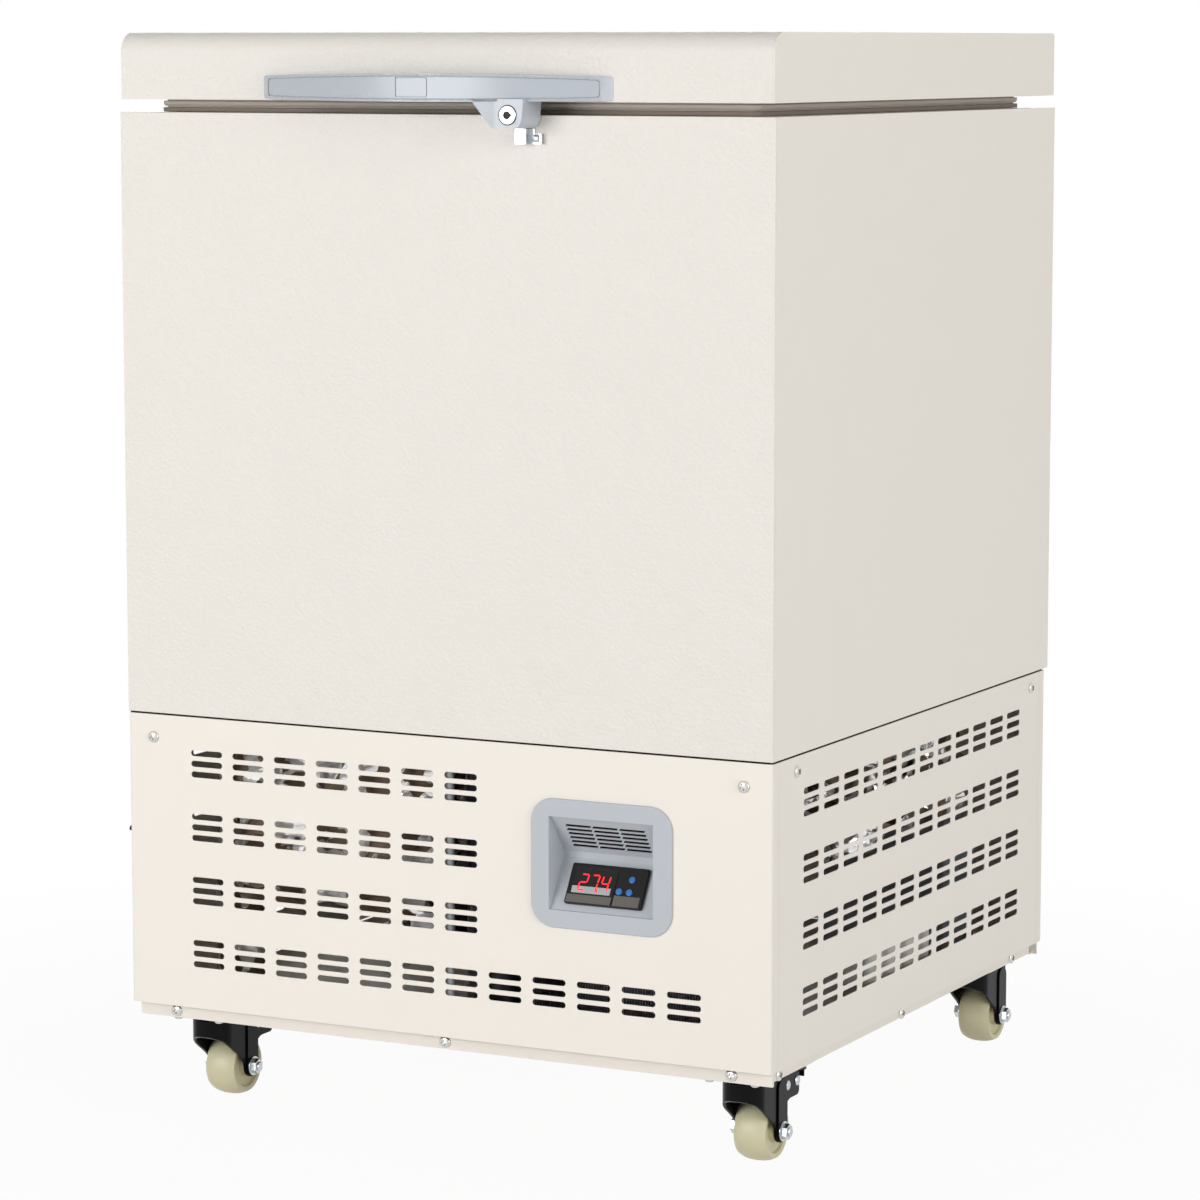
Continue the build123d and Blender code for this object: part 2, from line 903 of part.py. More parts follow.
def corner_post(side, y_outer, turn):
    """Angle section that carries the cabinet and takes the panel screws."""
    x_outer = side * (half_width - skirt_side_inset)
    web_x = sorted((x_outer, x_outer - side * post_leg))
    web_y = sorted((y_outer, y_outer + turn * frame_sheet))
    flange_x = sorted((x_outer, x_outer - side * frame_sheet))
    flange_y = sorted((y_outer, y_outer + turn * post_leg))
    web = block(*web_x, *web_y, panel_bottom, body_bottom)
    return web + block(*flange_x, *flange_y, panel_bottom, body_bottom)


def switch_notch():
    """Clearance in the left front post for the power switch's body."""
    length, wide, deep = switch_body
    z = panel_bottom + switch_z
    room_y = wide / 2 + switch_room
    room_z = length / 2 + switch_room
    x0 = -half_width
    x1 = x0 + sheet + deep
    return block(x0, x1, switch_y - room_y, switch_y + room_y, z - room_z, z + room_z)


def screw_head(place, direction):
    """Pan head standing on a panel."""
    plane = Plane(origin=place, z_dir=direction).offset(screw_seat)
    return extrude(plane * Circle(screw_head_radius), amount=screw_head_height)


def panel_screws():
    """Every visible screw of the lower panels and the base frame."""
    heads = []
    panel_z = panel_top - panel_screw_drop
    low_z = panel_bottom + panel_screw_drop
    side_z = panel_top - side_screw_drop
    frame_z = panel_bottom - skirt_height / 2
    skirt_x = half_width - skirt_side_inset
    for x in (-half_width + panel_screw_inset, half_width - panel_screw_inset):
        heads.append(screw_head((x, 0, panel_z), (0, -1, 0)))
        heads.append(screw_head((x, lower_rear, panel_z), (0, 1, 0)))
        heads.append(screw_head((x, lower_rear, low_z), (0, 1, 0)))
    for x in (-half_width + frame_screw_inset, 0, half_width - frame_screw_inset):
        heads.append(screw_head((x, skirt_front_inset, frame_z), (0, -1, 0)))
    for side in (-1, 1):
        for y in (side_screw_front, lower_rear - side_screw_rear):
            heads.append(screw_head((side * half_width, y, side_z), (side, 0, 0)))
        skirt_places = (skirt_screw_front, lower_middle - skirt_screw_middle,
                        lower_rear - skirt_screw_rear)
        for y in skirt_places:
            heads.append(screw_head((side * skirt_x, y, frame_z), (side, 0, 0)))
    return gather(heads)


# Control bezel and controller


def recess_points(grow):
    """Side outline (y, z) of the sloped recess, grown by a wall."""
    top = panel_bottom + bezel_z + window_height / 2
    low = panel_bottom + bezel_z - window_height / 2
    crease_top = top - window_height * crease_share
    crease_low = crease_top - crease_height
    crease_grow = grow * crease_wall / bezel_wall
    return [
        (0, top + grow),
        (recess_depth + grow, crease_top + crease_grow),
        (recess_depth + grow, crease_low - crease_grow),
        (0, low - grow),
    ]


def bezel_recess(grow, depth):
    """The recess as a solid; with a depth, only its slice through the panel."""
    half = window_width / 2 + grow
    shape = prism_x(recess_points(grow), bezel_x - half, bezel_x + half)
    mouth_points = recess_points(grow)
    low = mouth_points[3][1]
    top = mouth_points[0][1]
    mouth = block(bezel_x - half, bezel_x + half, -1, depth, low, top)
    if depth > 0:
        return mouth
    return shape


def controller_plane():
    """Plane of the slope that carries the controller, at the slope's middle."""
    points = recess_points(0)
    upper = points[2]
    lower = points[3]
    middle_y = (upper[0] + lower[0]) / 2
    middle_z = (upper[1] + lower[1]) / 2
    run = upper[0] - lower[0]
    rise = upper[1] - lower[1]
    length = math.hypot(run, rise)
    outward = (0, -rise / length, run / length)
    return Plane(origin=(bezel_x, middle_y, middle_z), x_dir=(1, 0, 0), z_dir=outward)


def grille_plane():
    """Plane of the upper slope, at its top edge, with its y axis up the slope."""
    upper, lower = recess_points(0)[:2]
    run = lower[0] - upper[0]
    drop = upper[1] - lower[1]
    length = math.hypot(run, drop)
    inward = (0, drop / length, run / length)
    return Plane(origin=(bezel_x, upper[0], upper[1]), x_dir=(1, 0, 0), z_dir=inward)


def control_bezel():
    """Moulded surround with a deep sloped recess and a grille in its upper slope."""
    z = panel_bottom + bezel_z
    plate_face = RectangleRounded(bezel_width, bezel_height, bezel_radius)
    plate = extrude(Plane.XZ * Pos(bezel_x, z) * plate_face, amount=bezel_proud)
    front_edges = plate.faces().sort_by(Axis.Y)[0].edges()
    plate = fillet(front_edges, bezel_proud * 0.6)
    half = window_width / 2
    shell = bezel_recess(bezel_wall, 0)
    cavity = bezel_recess(0, 0)
    low = z - window_height / 2
    top = z + window_height / 2
    window = block(bezel_x - half, bezel_x + half, -bezel_proud, 0, low, top)
    bezel = plate + shell - cavity - window
    slots = []
    plane = grille_plane()
    for row in range(grille_rows):
        for column in range(grille_columns):
            u = (column - (grille_columns - 1) / 2) * grille_column_pitch
            v = grille_first_row + row * grille_row_pitch
            slot = plane * Pos(u, v) * Rectangle(grille_slot_width, grille_slot_height)
            slots.append(extrude(slot, amount=bezel_wall * 2, both=True))
    clear = 2 * case_gap
    opening = controller_plane() * Rectangle(case_width + clear, case_height + clear)
    hole = extrude(opening, amount=bezel_wall * 2, both=True)
    return bezel - slots - hole


def controller_case():
    """Panel controller: a tilted front frame and its case behind the slope."""
    plane = controller_plane()
    face = plane * RectangleRounded(controller_width, controller_height, controller_corner)
    frame = extrude(face, amount=controller_proud)
    body = extrude(plane * Rectangle(case_width, case_height), amount=-case_depth)
    case = frame + body
    lens_face = plane.offset(controller_proud) * Pos(lens_x, lens_v)
    lens = extrude(lens_face * Rectangle(lens_width, lens_height), amount=-lens_thickness)
    case = case - lens
    for u, v in key_places.values():
        bore = plane.offset(controller_proud) * Pos(u, v) * Circle(key_radius + key_gap)
        case = case - extrude(bore, amount=-(key_depth + key_travel + seat_gap))
    return case


def display_window():
    plane = controller_plane().offset(controller_proud) * Pos(lens_x, lens_v)
    return extrude(plane * Rectangle(lens_width, lens_height), amount=-lens_thickness)


def controller_key(node):
    u, v = key_places[node]
    plane = controller_plane().offset(controller_proud - key_depth) * Pos(u, v)
    return extrude(plane * Circle(key_radius), amount=key_depth + key_proud)


# Power switch and inlet


def power_switch():
    """Small toggle switch: body inside the panel, threaded bush and nut outside."""
    z = panel_bottom + switch_z
    outer = -half_width
    inner = outer + sheet
    length, wide, deep = switch_body
    body = block(inner, inner + deep, switch_y - wide / 2, switch_y + wide / 2,
                 z - length / 2, z + length / 2)
    bush = rod_x(outer - switch_nut_height, inner, switch_y, z, switch_bush_radius)
    hexagon = Pos(switch_y, z) * RegularPolygon(switch_nut_radius, 6)
    nut = extrude(Plane.YZ.offset(outer - switch_nut_height) * hexagon, amount=switch_nut_height)
    ball = Pos(outer - switch_nut_height, switch_y, z) * Sphere(lever_ball + seat_gap)
    return body + bush + nut - ball


def switch_lever():
    """Bat lever that pivots in the bush, thrown upwards."""
    z = panel_bottom + switch_z
    pivot = -half_width - switch_nut_height
    reach = lever_reach - switch_nut_height
    tip = Plane.YZ.offset(-reach) * Circle(lever_tip_radius)
    root = Plane.YZ * Circle(lever_radius)
    lever = Sphere(lever_ball) + loft([tip, root])
    return Pos(pivot, switch_y, z) * Rot(0, lever_throw / 2, 0) * lever


def inlet_hole():
    z = panel_bottom + inlet_z
    half_w = inlet_width / 2 + seat_gap
    half_h = inlet_height / 2 + seat_gap
    return block(inlet_x - half_w, inlet_x + half_w, lower_rear - sheet - 1, lower_rear + 1,
                 z - half_h, z + half_h)


def power_inlet():
    """Appliance inlet with a recessed socket and three flat pins."""
    z = panel_bottom + inlet_z
    half_w = inlet_width / 2
    half_h = inlet_height / 2
    outer = lower_rear + inlet_flange
    body = block(inlet_x - half_w, inlet_x + half_w, lower_rear - inlet_depth, lower_rear,
                 z - half_h, z + half_h)
    ear = half_w + inlet_ear
    rise = half_h + inlet_lip
    flange = block(inlet_x - ear, inlet_x + ear, lower_rear, outer, z - rise, z + rise)
    socket_w = half_w - inlet_wall
    socket_h = half_h - inlet_wall
    floor = outer - inlet_socket
    socket = block(inlet_x - socket_w, inlet_x + socket_w, floor, outer,
                   z - socket_h, z + socket_h)
    inlet = body + flange - socket
    tip = outer - inlet_pin_setback
    for u, v in inlet_pins:
        left = inlet_x + u - inlet_pin_width / 2
        low = z + v - inlet_pin_height / 2
        pin = block(left, left + inlet_pin_width, floor, tip, low, low + inlet_pin_height)
        inlet = inlet + pin
    return inlet


# Casters


def fork_top():
    return caster_height - plate_thickness - race_height - swivel_gap


def caster_plate(x, y):
    """Mounting plate with its upper race and the kingpin under the fork."""
    low = caster_height - plate_thickness
    half_w = plate_width / 2
    half_l = plate_length / 2
    plate = block(x - half_w, x + half_w, y - half_l, y + half_l, low, caster_height)
    plate = fillet(plate.edges().filter_by(Axis.Z), plate_corner)
    race = rod_z(low - race_height, low, x, y, race_radius)
    head_top = fork_top() - fork_sheet - swivel_gap
    pin = rod_z(head_top - kingpin_head_height, low, x, y, kingpin_radius)
    head = rod_z(head_top - kingpin_head_height, head_top, x, y, kingpin_head)
    return plate + race + pin + head


def fork_side(x, y, braked):
    """Side outline of the fork: band, arch over the wheel, leg and brake ears."""
    top = fork_top()
    axle_y = y + trail
    axle_z = wheel_radius
    nose = y - fork_nose
    band_low = top - fork_band
    leg_front = axle_y - leg_half
    leg_rear = axle_y + leg_half
    arch_y = (nose + leg_front) / 2 + arch_shift[0]
    arch_z = (band_low + axle_z) / 2 + arch_shift[1]
    edges = [
        Line((nose, top), (nose, band_low)),
        ThreePointArc((nose, band_low), (arch_y, arch_z), (leg_front, axle_z)),
        ThreePointArc((leg_front, axle_z), (axle_y, axle_z - leg_half), (leg_rear, axle_z)),
    ]
    if braked:
        ear_y = axle_y + ear_reach
        ear_low = top - ear_height
        ear_root = ear_low - ear_slope[1]
        ear_bend = leg_rear + ear_slope[0]
        ear_top = top - ear_top_drop
        edges += [
            Line((leg_rear, axle_z), (leg_rear, ear_root)),
            Line((leg_rear, ear_root), (ear_bend, ear_low)),
            Line((ear_bend, ear_low), (ear_y, ear_low)),
            Line((ear_y, ear_low), (ear_y, ear_top)),
            Line((ear_y, ear_top), (leg_rear, top)),
        ]
    else:
        edges += [Line((leg_rear, axle_z), (leg_rear, top))]
    edges += [Line((leg_rear, top), (nose, top))]
    reach = fork_inner + fork_sheet
    return extrude(Plane.YZ.offset(x - reach) * make_face(edges), amount=2 * reach)


def fork_plan(x, y, inset):
    """Plan of the fork's hood: round-cornered nose and straight legs."""
    half = fork_inner + fork_sheet - inset
    nose = y - fork_nose + inset
    rear = y + trail + leg_half + ear_reach + inset
    radius = fork_nose_radius - inset
    outline = Pos(x, (nose + rear) / 2) * Rectangle(2 * half, rear - nose)
    corners = outline.vertices().group_by(Axis.Y)[0]
    return fillet(corners, radius)


def caster_fork(x, y, braked):
    """Pressed fork: hood, two legs with raised pads, and ears on a braked one."""
    top = fork_top()
    outer = extrude(Plane.XY * fork_plan(x, y, 0), amount=top)
    inner = extrude(Plane.XY * fork_plan(x, y, fork_sheet), amount=top - fork_sheet)
    crown_rear = y + trail + leg_half
    ear_rear = crown_rear + ear_reach
    crown_cut = block(x - fork_inner, x + fork_inner, crown_rear, ear_rear, top - fork_sheet, top)
    fork = (outer - inner) & fork_side(x, y, braked)
    fork = fork - crown_cut
    axle_y = y + trail
    pad_top = top - fork_sheet - leg_half
    pad_half = leg_half - leg_pad_inset
    for side in (-1, 1):
        x0 = x + side * (fork_inner + fork_sheet)
        x1 = x0 + side * leg_pad
        low, high = min(x0, x1), max(x0, x1)
        pad = rod_x(low, high, axle_y, wheel_radius, pad_half)
        pad = pad + rod_x(low, high, axle_y, pad_top, pad_half)
        pad = pad + block(low, high, axle_y - pad_half, axle_y + pad_half, wheel_radius, pad_top)
        for pin_y, pin_z in brake_pins(y) if braked else []:
            pad = pad - rod_x(low, high, pin_y, pin_z, rivet_radius + seat_gap)
        fork = fork + pad
    reach = fork_inner + fork_sheet + leg_pad
    fork = fork - rod_x(x - reach, x + reach, axle_y, wheel_radius, axle_radius)
    fork = fork - rod_z(top - fork_sheet, top, x, y, kingpin_radius + running_fit)
    if braked:
        for pin_y, pin_z in brake_pins(y):
            fork = fork - rod_x(x - reach, x + reach, pin_y, pin_z, pedal_pin)
    return fork


def brake_pins(y):
    """Places (y, z) of the pedal's pivot and of the stop rivet behind it."""
    pivot_y = y + trail + pedal_pivot_y
    pivot_z = fork_top() - pedal_pivot_drop
    return [(pivot_y, pivot_z), (pivot_y + rivet_spacing, pivot_z)]


def caster_wheel(x, y):
    """Crowned wheel with a recessed face and a hub."""
    half = wheel_width / 2
    rim = wheel_radius - wheel_crown - wheel_lip
    bore = axle_radius + running_fit
    web = half - wheel_recess
    hub_half = fork_inner - seat_gap
    recess = wheel_radius - wheel_shoulder
    tread = half - wheel_shoulder
    outline = [
        (-hub_half, bore),
        (hub_half, bore),
        (hub_half, hub_radius),
        (web, hub_radius),
        (web, recess),
        (half, recess),
        (half, rim),
        (tread, wheel_radius),
        (-tread, wheel_radius),
        (-half, rim),
        (-half, recess),
        (-web, recess),
        (-web, hub_radius),
        (-hub_half, hub_radius),
    ]
    profile = make_face(Polyline(*outline, close=True))
    wheel = revolve(profile, Axis.X)
    return Pos(x, y + trail, wheel_radius) * wheel


def caster_fixings(x, y, braked):
    """Axle bolt with its head and nut, and the brake's rivets."""
    axle_y = y + trail
    face = fork_inner + fork_sheet + leg_pad
    bolt = rod_x(x - face, x + face, axle_y, wheel_radius, axle_radius)
    for start in (x - face - axle_hex_height, x + face):
        hexagon = Pos(axle_y, wheel_radius) * RegularPolygon(axle_hex_radius, 6)
        bolt = bolt + extrude(Plane.YZ.offset(start) * hexagon, amount=axle_hex_height)
    end = x + face + axle_hex_height
    bolt = bolt + rod_x(end, end + axle_end, axle_y, wheel_radius, axle_radius)
    pieces = [bolt]
    if braked:
        reach = fork_inner + fork_sheet
        for pin_y, pin_z in brake_pins(y):
            rivet = rod_x(x - reach, x + reach, pin_y, pin_z, pedal_pin)
            for start in (x - reach - rivet_height, x + reach):
                rivet = rivet + rod_x(start, start + rivet_height, pin_y, pin_z, rivet_radius)
            pieces.append(rivet)
    return gather(pieces)


def brake_pedal(x, y):
    """Foot pedal on the front rivet, with a shoe over the wheel's tread."""
    pivot, stop = brake_pins(y)
    half = fork_inner - seat_gap
    top = fork_top() - pedal_drop
    front = y + trail + leg_half + seat_gap
    end = pivot[0] + pedal_length
    plate = block(x - half, x + half, front, end, top - pedal_plate, top)
    lip = block(x - half, x + half, end - pedal_plate, end, top - pedal_lip, top - pedal_plate)
    pedal = plate + lip
    axle_y = y + trail
    angle = math.radians(shoe_angle)
    distance = wheel_radius + shoe_gap + pedal_shoe
    shoe_y = axle_y + distance * math.cos(angle)
    shoe_z = wheel_radius + distance * math.sin(angle)
    stop_end = stop[0] - pedal_pin - cheek_gap
    cheek_points = [
        (front, pivot[1] + pedal_pin),
        (front, top),
        (stop_end, top),
        (stop_end, pivot[1] - cheek_low),
        (shoe_y + pedal_shoe, shoe_z),
        (shoe_y, shoe_z - pedal_shoe),
        (shoe_y - pedal_shoe, shoe_z),
        (pivot[0] - cheek_front, pivot[1]),
    ]
    for side in (-1, 1):
        x0 = x + side * half
        x1 = x0 - side * pedal_plate
        pedal = pedal + prism_x(cheek_points, min(x0, x1), max(x0, x1))
    pedal = pedal + rod_x(x - half, x + half, shoe_y, shoe_z, pedal_shoe)
    return pedal - rod_x(x - half, x + half, *pivot, pedal_pin + running_fit)


# Refrigeration


def compressor():
    """Hermetic compressor: domed shell, foot plate and terminal cover."""
    foot_low = panel_bottom + grommet_height
    foot_top = foot_low + compressor_foot_sheet
    r = compressor_radius
    low = foot_top
    top = low + compressor_height
    outline = [
        (0, low),
        (r * 0.72, low),
        (r * 0.93, low + r * 0.12),
        (r, low + r * 0.4),
        (r, top - r * 0.55),
        (r * 0.93, top - r * 0.32),
        (r * 0.72, top - r * 0.13),
        (r * 0.4, top),
        (0, top),
    ]
    profile = Plane.XZ * make_face(Polyline(*outline, close=True))
    shell = revolve(profile, Axis.Z)
    seam_low = low + seam_rise
    seam = rod_z(seam_low, seam_low + seam_height, 0, 0, r + seam_proud)
    length, wide = compressor_foot
    foot = block(-length / 2, length / 2, -wide / 2, wide / 2, foot_low, foot_top)
    for gx, gy in grommet_places(0, 0):
        foot = foot - rod_z(foot_low, foot_top, gx, gy, grommet_neck)
    cover_low = low + terminal_rise
    cover = block(-r - terminal_reach, -r * 0.8, -terminal_width / 2, terminal_width / 2,
                  cover_low, cover_low + terminal_height)
    return Pos(compressor_x, compressor_y, 0) * (shell + seam + foot + cover)


def grommet_places(x, y):
    length, wide = compressor_foot
    for side in (-1, 1):
        for end in (-1, 1):
            offset_x = length / 2 - grommet_inset
            offset_y = wide / 2 - grommet_inset
            yield (x + side * offset_x, y + end * offset_y)


def compressor_feet():
    """Rubber grommets between the compressor's foot plate and the tray."""
    feet = []
    for gx, gy in grommet_places(compressor_x, compressor_y):
        low = panel_bottom
        foot = rod_z(low, low + grommet_height, gx, gy, grommet_radius)
        neck_top = low + grommet_height + compressor_foot_sheet
        foot = foot + rod_z(low, neck_top, gx, gy, grommet_neck)
        foot = foot + rod_z(neck_top, neck_top + grommet_cap, gx, gy, grommet_radius)
        feet.append(foot)
    return gather(feet)


def condenser():
    """Finned block between two end plates, standing on the tray."""
    low = panel_bottom
    top = low + condenser_height
    x0 = condenser_x - condenser_width / 2
    x1 = condenser_x + condenser_width / 2
    front = condenser_front
    rear = front + condenser_depth
    middle = (front + rear) / 2
    core = block(x0, x1, middle - fin_core / 2, middle + fin_core / 2, low, top)
    count = int(condenser_width / fin_pitch)
    for index in range(1, count):
        x = x0 + index * condenser_width / count
        core = core + block(x - fin_thickness / 2, x + fin_thickness / 2, front, rear, low, top)
    for x in (x0, x1 - condenser_header):
        core = core + block(x, x + condenser_header, front, rear, low, top)
    return core


def fan_place():
    """Middle of the fan on the condenser's rear face (x, y, z)."""
    return (condenser_x, condenser_front + condenser_depth, panel_bottom + condenser_height / 2)


def fan_shroud():
    """Sheet shroud with the fan ring and the motor's cross arms."""
    x, y, z = fan_place()
    half = condenser_width / 2
    low = z - condenser_height / 2
    top = z + condenser_height / 2
    plate = block(x - half, x + half, y, y + shroud_sheet, low, top)
    ring_radius = fan_radius + fan_tip_gap
    ring = rod_y(y, y + shroud_depth + fan_hub_length, x, z, ring_radius + shroud_sheet)
    opening = rod_y(y, y + shroud_depth + fan_hub_length, x, z, ring_radius)
    arm_y = y + shroud_depth + fan_hub_length
    arms = block(x - ring_radius - shroud_sheet, x + ring_radius + shroud_sheet,
                 arm_y, arm_y + shroud_sheet, z - fan_strut, z + fan_strut)
    shaft_hole = rod_y(arm_y, arm_y + shroud_sheet, x, z, fan_shaft_radius + fan_shaft_gap)
    return plate + ring - opening + arms - shaft_hole


def fan_motor():
    x, y, z = fan_place()
    back = y + shroud_depth + fan_hub_length + shroud_sheet
    can = rod_y(back, back + fan_motor_length, x, z, fan_motor_radius)
    shaft_front = y + shroud_depth - fan_hub_length / 2
    shaft = rod_y(shaft_front, back, x, z, fan_shaft_radius)
    return can + shaft


def fan_blade():
    """Axial fan: hub with pitched blades, turning on the motor's shaft."""
    x, y, z = fan_place()
    front = y + shroud_depth - fan_hub_length / 2
    fan = rod_y(front, front + fan_hub_length, 0, 0, fan_hub_radius)
    middle = front + fan_hub_length / 2
    reach = fan_radius - fan_hub_radius * 0.6
    blade = Box(reach, fan_blade_thickness, fan_blade_width)
    blade = Rot(fan_blade_pitch, 0, 0) * blade
    blade = Pos(fan_hub_radius * 0.6 + reach / 2, middle, 0) * blade
    tip = rod_y(front - fan_blade_width, middle + fan_blade_width, 0, 0, fan_radius)
    blade = blade & tip
    for index in range(fan_blades):
        turn = Rot(0, 360.0 * index / fan_blades, 0)
        fan = fan + turn * blade
    fan = fan - rod_y(front - 1, front + fan_hub_length + 1, 0, 0, fan_shaft_radius + running_fit)
    return Pos(x, 0, z) * fan


def tube(points, radius, bends):
    """Round tube along straight runs joined by arcs."""
    path = FilletPolyline(*points, radius=bends)
    start = Plane(origin=path @ 0, z_dir=path % 0)
    return sweep(start * Circle(radius), path)


def refrigerant_pipes():
    """Discharge and suction lines of the compressor, with the filter drier."""
    top = panel_bottom + grommet_height + compressor_foot_sheet + compressor_height
    side_x = compressor_x + compressor_radius
    level = panel_bottom + discharge_rise
    out_x = side_x + discharge_reach
    header_x = condenser_x - condenser_width / 2
    rear_y = condenser_front + condenser_depth / 2
    discharge = tube(
        [
            (side_x + seat_gap, compressor_y, level),
            (out_x, compressor_y, level),
            (out_x, rear_y, level),
            (header_x, rear_y, level),
        ],
        pipe_radius,
        pipe_bend,
    )
    suction_y = compressor_y - suction_run
    suction = tube(
        [
            (compressor_x, compressor_y, top),
            (compressor_x, compressor_y, top + suction_rise),
            (compressor_x, suction_y, top + suction_rise),
            (compressor_x, suction_y, body_bottom),
        ],
        pipe_radius,
        pipe_bend,
    )
    return gather([discharge, suction, filter_drier()])


def filter_drier():
    """Copper drier clipped upright on the tray."""
    low = panel_bottom
    can_low = low + drier_rise
    can_top = can_low + drier_length
    can = rod_z(can_low, can_top, drier_x, drier_y, drier_radius)
    can = chamfer(can.edges(), drier_taper)
    stem = rod_z(low, can_top + drier_stem_over, drier_x, drier_y, drier_stem)
    return can + stem


def control_box():
    length, wide, tall = control_box_size
    x0 = control_box_x - length / 2
    y0 = control_box_y - wide / 2
    box = block(x0, x0 + length, y0, y0 + wide, panel_bottom, panel_bottom + tall)
    return fillet(box.edges().filter_by(Axis.Z), control_box_corner)


def wrapped_line():
    """Cold line in foil-faced lagging, from the tray up to the cabinet's floor."""
    level = panel_bottom + wrap_rise
    return tube(
        [
            (wrap_start_x, wrap_y, panel_bottom),
            (wrap_start_x, wrap_y, level),
            (wrap_end_x, wrap_y, level),
            (wrap_end_x, wrap_y, body_bottom),
        ],
        wrap_radius,
        wrap_bend,
    )


def build_all():
    os.makedirs("parts", exist_ok=True)
    write("cabinet_front", cabinet_front())
    write("cabinet_sides", cabinet_sides())
    write("cabinet_back", cabinet_back())
    write("rim_collar", rim_collar())
    write("foam_insulation", foam_insulation())
    write("liner_tank", liner_tank())
    write("evaporator_coil", evaporator_coil())
    write("temperature_probe", temperature_probe())
    write("lid_top_sheet", lid_top_sheet())
    write("lid_ends", lid_ends())
    write("lid_liner", lid_liner())
    write("lid_foam", lid_foam())
    write("lid_gasket", lid_gasket())
    write("handle_body", handle_body())
    write("handle_cover", handle_cover())
    write("lock_barrel", lock_barrel())
    write("lock_cam", lock_cam())
    write("lock_striker", lock_striker())
    write("hinge_cabinet_leaves", gather([hinge_cabinet_leaf(x) for x in hinge_places()]))
    write("hinge_lid_leaves", gather([hinge_lid_leaf(x) for x in hinge_places()]))
    write("hinge_pins", gather([hinge_pin(x) for x in hinge_places()]))
    write("front_panel", front_panel())
    write("rear_panel", rear_panel())
    write("side_panel_left", side_panel(-1))
    write("side_panel_right", side_panel(1))
    write("base_frame", base_frame())
    write("panel_screws", panel_screws())
    write("control_bezel", control_bezel())
    write("controller_case", controller_case())
    write("display_window", display_window())
    for node in key_places:
        write(node, controller_key(node))
    write("power_switch", power_switch())
    write("switch_lever", switch_lever())
    write("power_inlet", power_inlet())
    write("compressor", compressor())
    write("compressor_feet", compressor_feet())
    write("condenser", condenser())
    write("fan_shroud", fan_shroud())
    write("fan_motor", fan_motor())
    write("fan_blade", fan_blade())
    write("refrigerant_pipes", refrigerant_pipes())
    write("control_box", control_box())
    write("wrapped_line", wrapped_line())
    build_casters()


def build_casters():
    plates = []
    for side, hand in ((-1, "left"), (1, "right")):
        for y, end in ((caster_front_y, "front"), (caster_rear_y, "rear")):
            x = side * caster_x
            braked = end == "front"
            place = f"{end}_{hand}"
            plates.append(caster_plate(x, y))
            write(f"fork_{place}", caster_fork(x, y, braked))
            write(f"wheel_{place}", caster_wheel(x, y))
            write(f"axle_{place}", caster_fixings(x, y, braked))
            if braked:
                write(f"pedal_{place}", brake_pedal(x, y))
    write("caster_plates", gather(plates))


build_all()
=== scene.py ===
"""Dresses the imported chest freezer: its finishes, its modelled pieces, the studio and the camera."""

import json
import logging
import math
from dataclasses import dataclass
from enum import Enum
from typing import Callable, Iterable, Sequence

import bpy
from mathutils import Matrix, Vector


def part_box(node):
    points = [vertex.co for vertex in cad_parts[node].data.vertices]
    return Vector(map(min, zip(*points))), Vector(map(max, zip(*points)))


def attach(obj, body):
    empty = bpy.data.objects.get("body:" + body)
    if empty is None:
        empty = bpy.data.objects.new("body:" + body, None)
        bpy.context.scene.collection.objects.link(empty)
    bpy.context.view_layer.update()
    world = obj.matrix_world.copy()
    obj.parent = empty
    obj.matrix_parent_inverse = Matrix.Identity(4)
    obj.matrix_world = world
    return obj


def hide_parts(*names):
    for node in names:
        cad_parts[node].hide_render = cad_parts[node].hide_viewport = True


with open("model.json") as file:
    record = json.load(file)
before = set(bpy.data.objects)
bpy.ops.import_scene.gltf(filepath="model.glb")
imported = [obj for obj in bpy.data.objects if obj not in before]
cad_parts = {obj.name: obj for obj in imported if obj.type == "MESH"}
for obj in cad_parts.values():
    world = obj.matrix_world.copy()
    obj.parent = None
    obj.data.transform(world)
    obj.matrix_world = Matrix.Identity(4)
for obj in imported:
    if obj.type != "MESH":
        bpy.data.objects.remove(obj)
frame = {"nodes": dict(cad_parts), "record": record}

LOG = logging.getLogger("freezer")
MM = 0.001
FULL_TURN = 2 * math.pi
Flat = tuple[float, float]
Piece = bpy.types.Object


def linear(code: str) -> tuple[float, float, float, float]:
    """Turn an sRGB hex colour into a linear one.

    Args:
        code: six hex digits, without a mark in front.

    Returns:
        Red, green, blue and an alpha of one.
    """
    parts = [int(code[start:start + 2], 16) / 255 for start in (0, 2, 4)]
    red, green, blue = (
        part / 12.92 if part <= 0.04045 else ((part + 0.055) / 1.055) ** 2.4 for part in parts
    )
    return red, green, blue, 1.0


def add_node(tree: bpy.types.NodeTree, kind: str, settings: dict | None = None,
             links: dict | None = None) -> bpy.types.Node:
    """Add a shader node with its settings and links.

    Args:
        tree: the node tree that gets it.
        kind: the node's type without the ShaderNode in front.
        settings: attributes by name, and input values by socket name or number.
        links: output sockets by the name or number of the input that they feed.

    Returns:
        The new node.
    """
    node = tree.nodes.new("ShaderNode" + kind)
    for key, value in (settings or {}).items():
        if isinstance(key, str) and hasattr(node, key):
            setattr(node, key, value)
        else:
            node.inputs[key].default_value = value
    for key, source in (links or {}).items():
        tree.links.new(source, node.inputs[key])
    return node


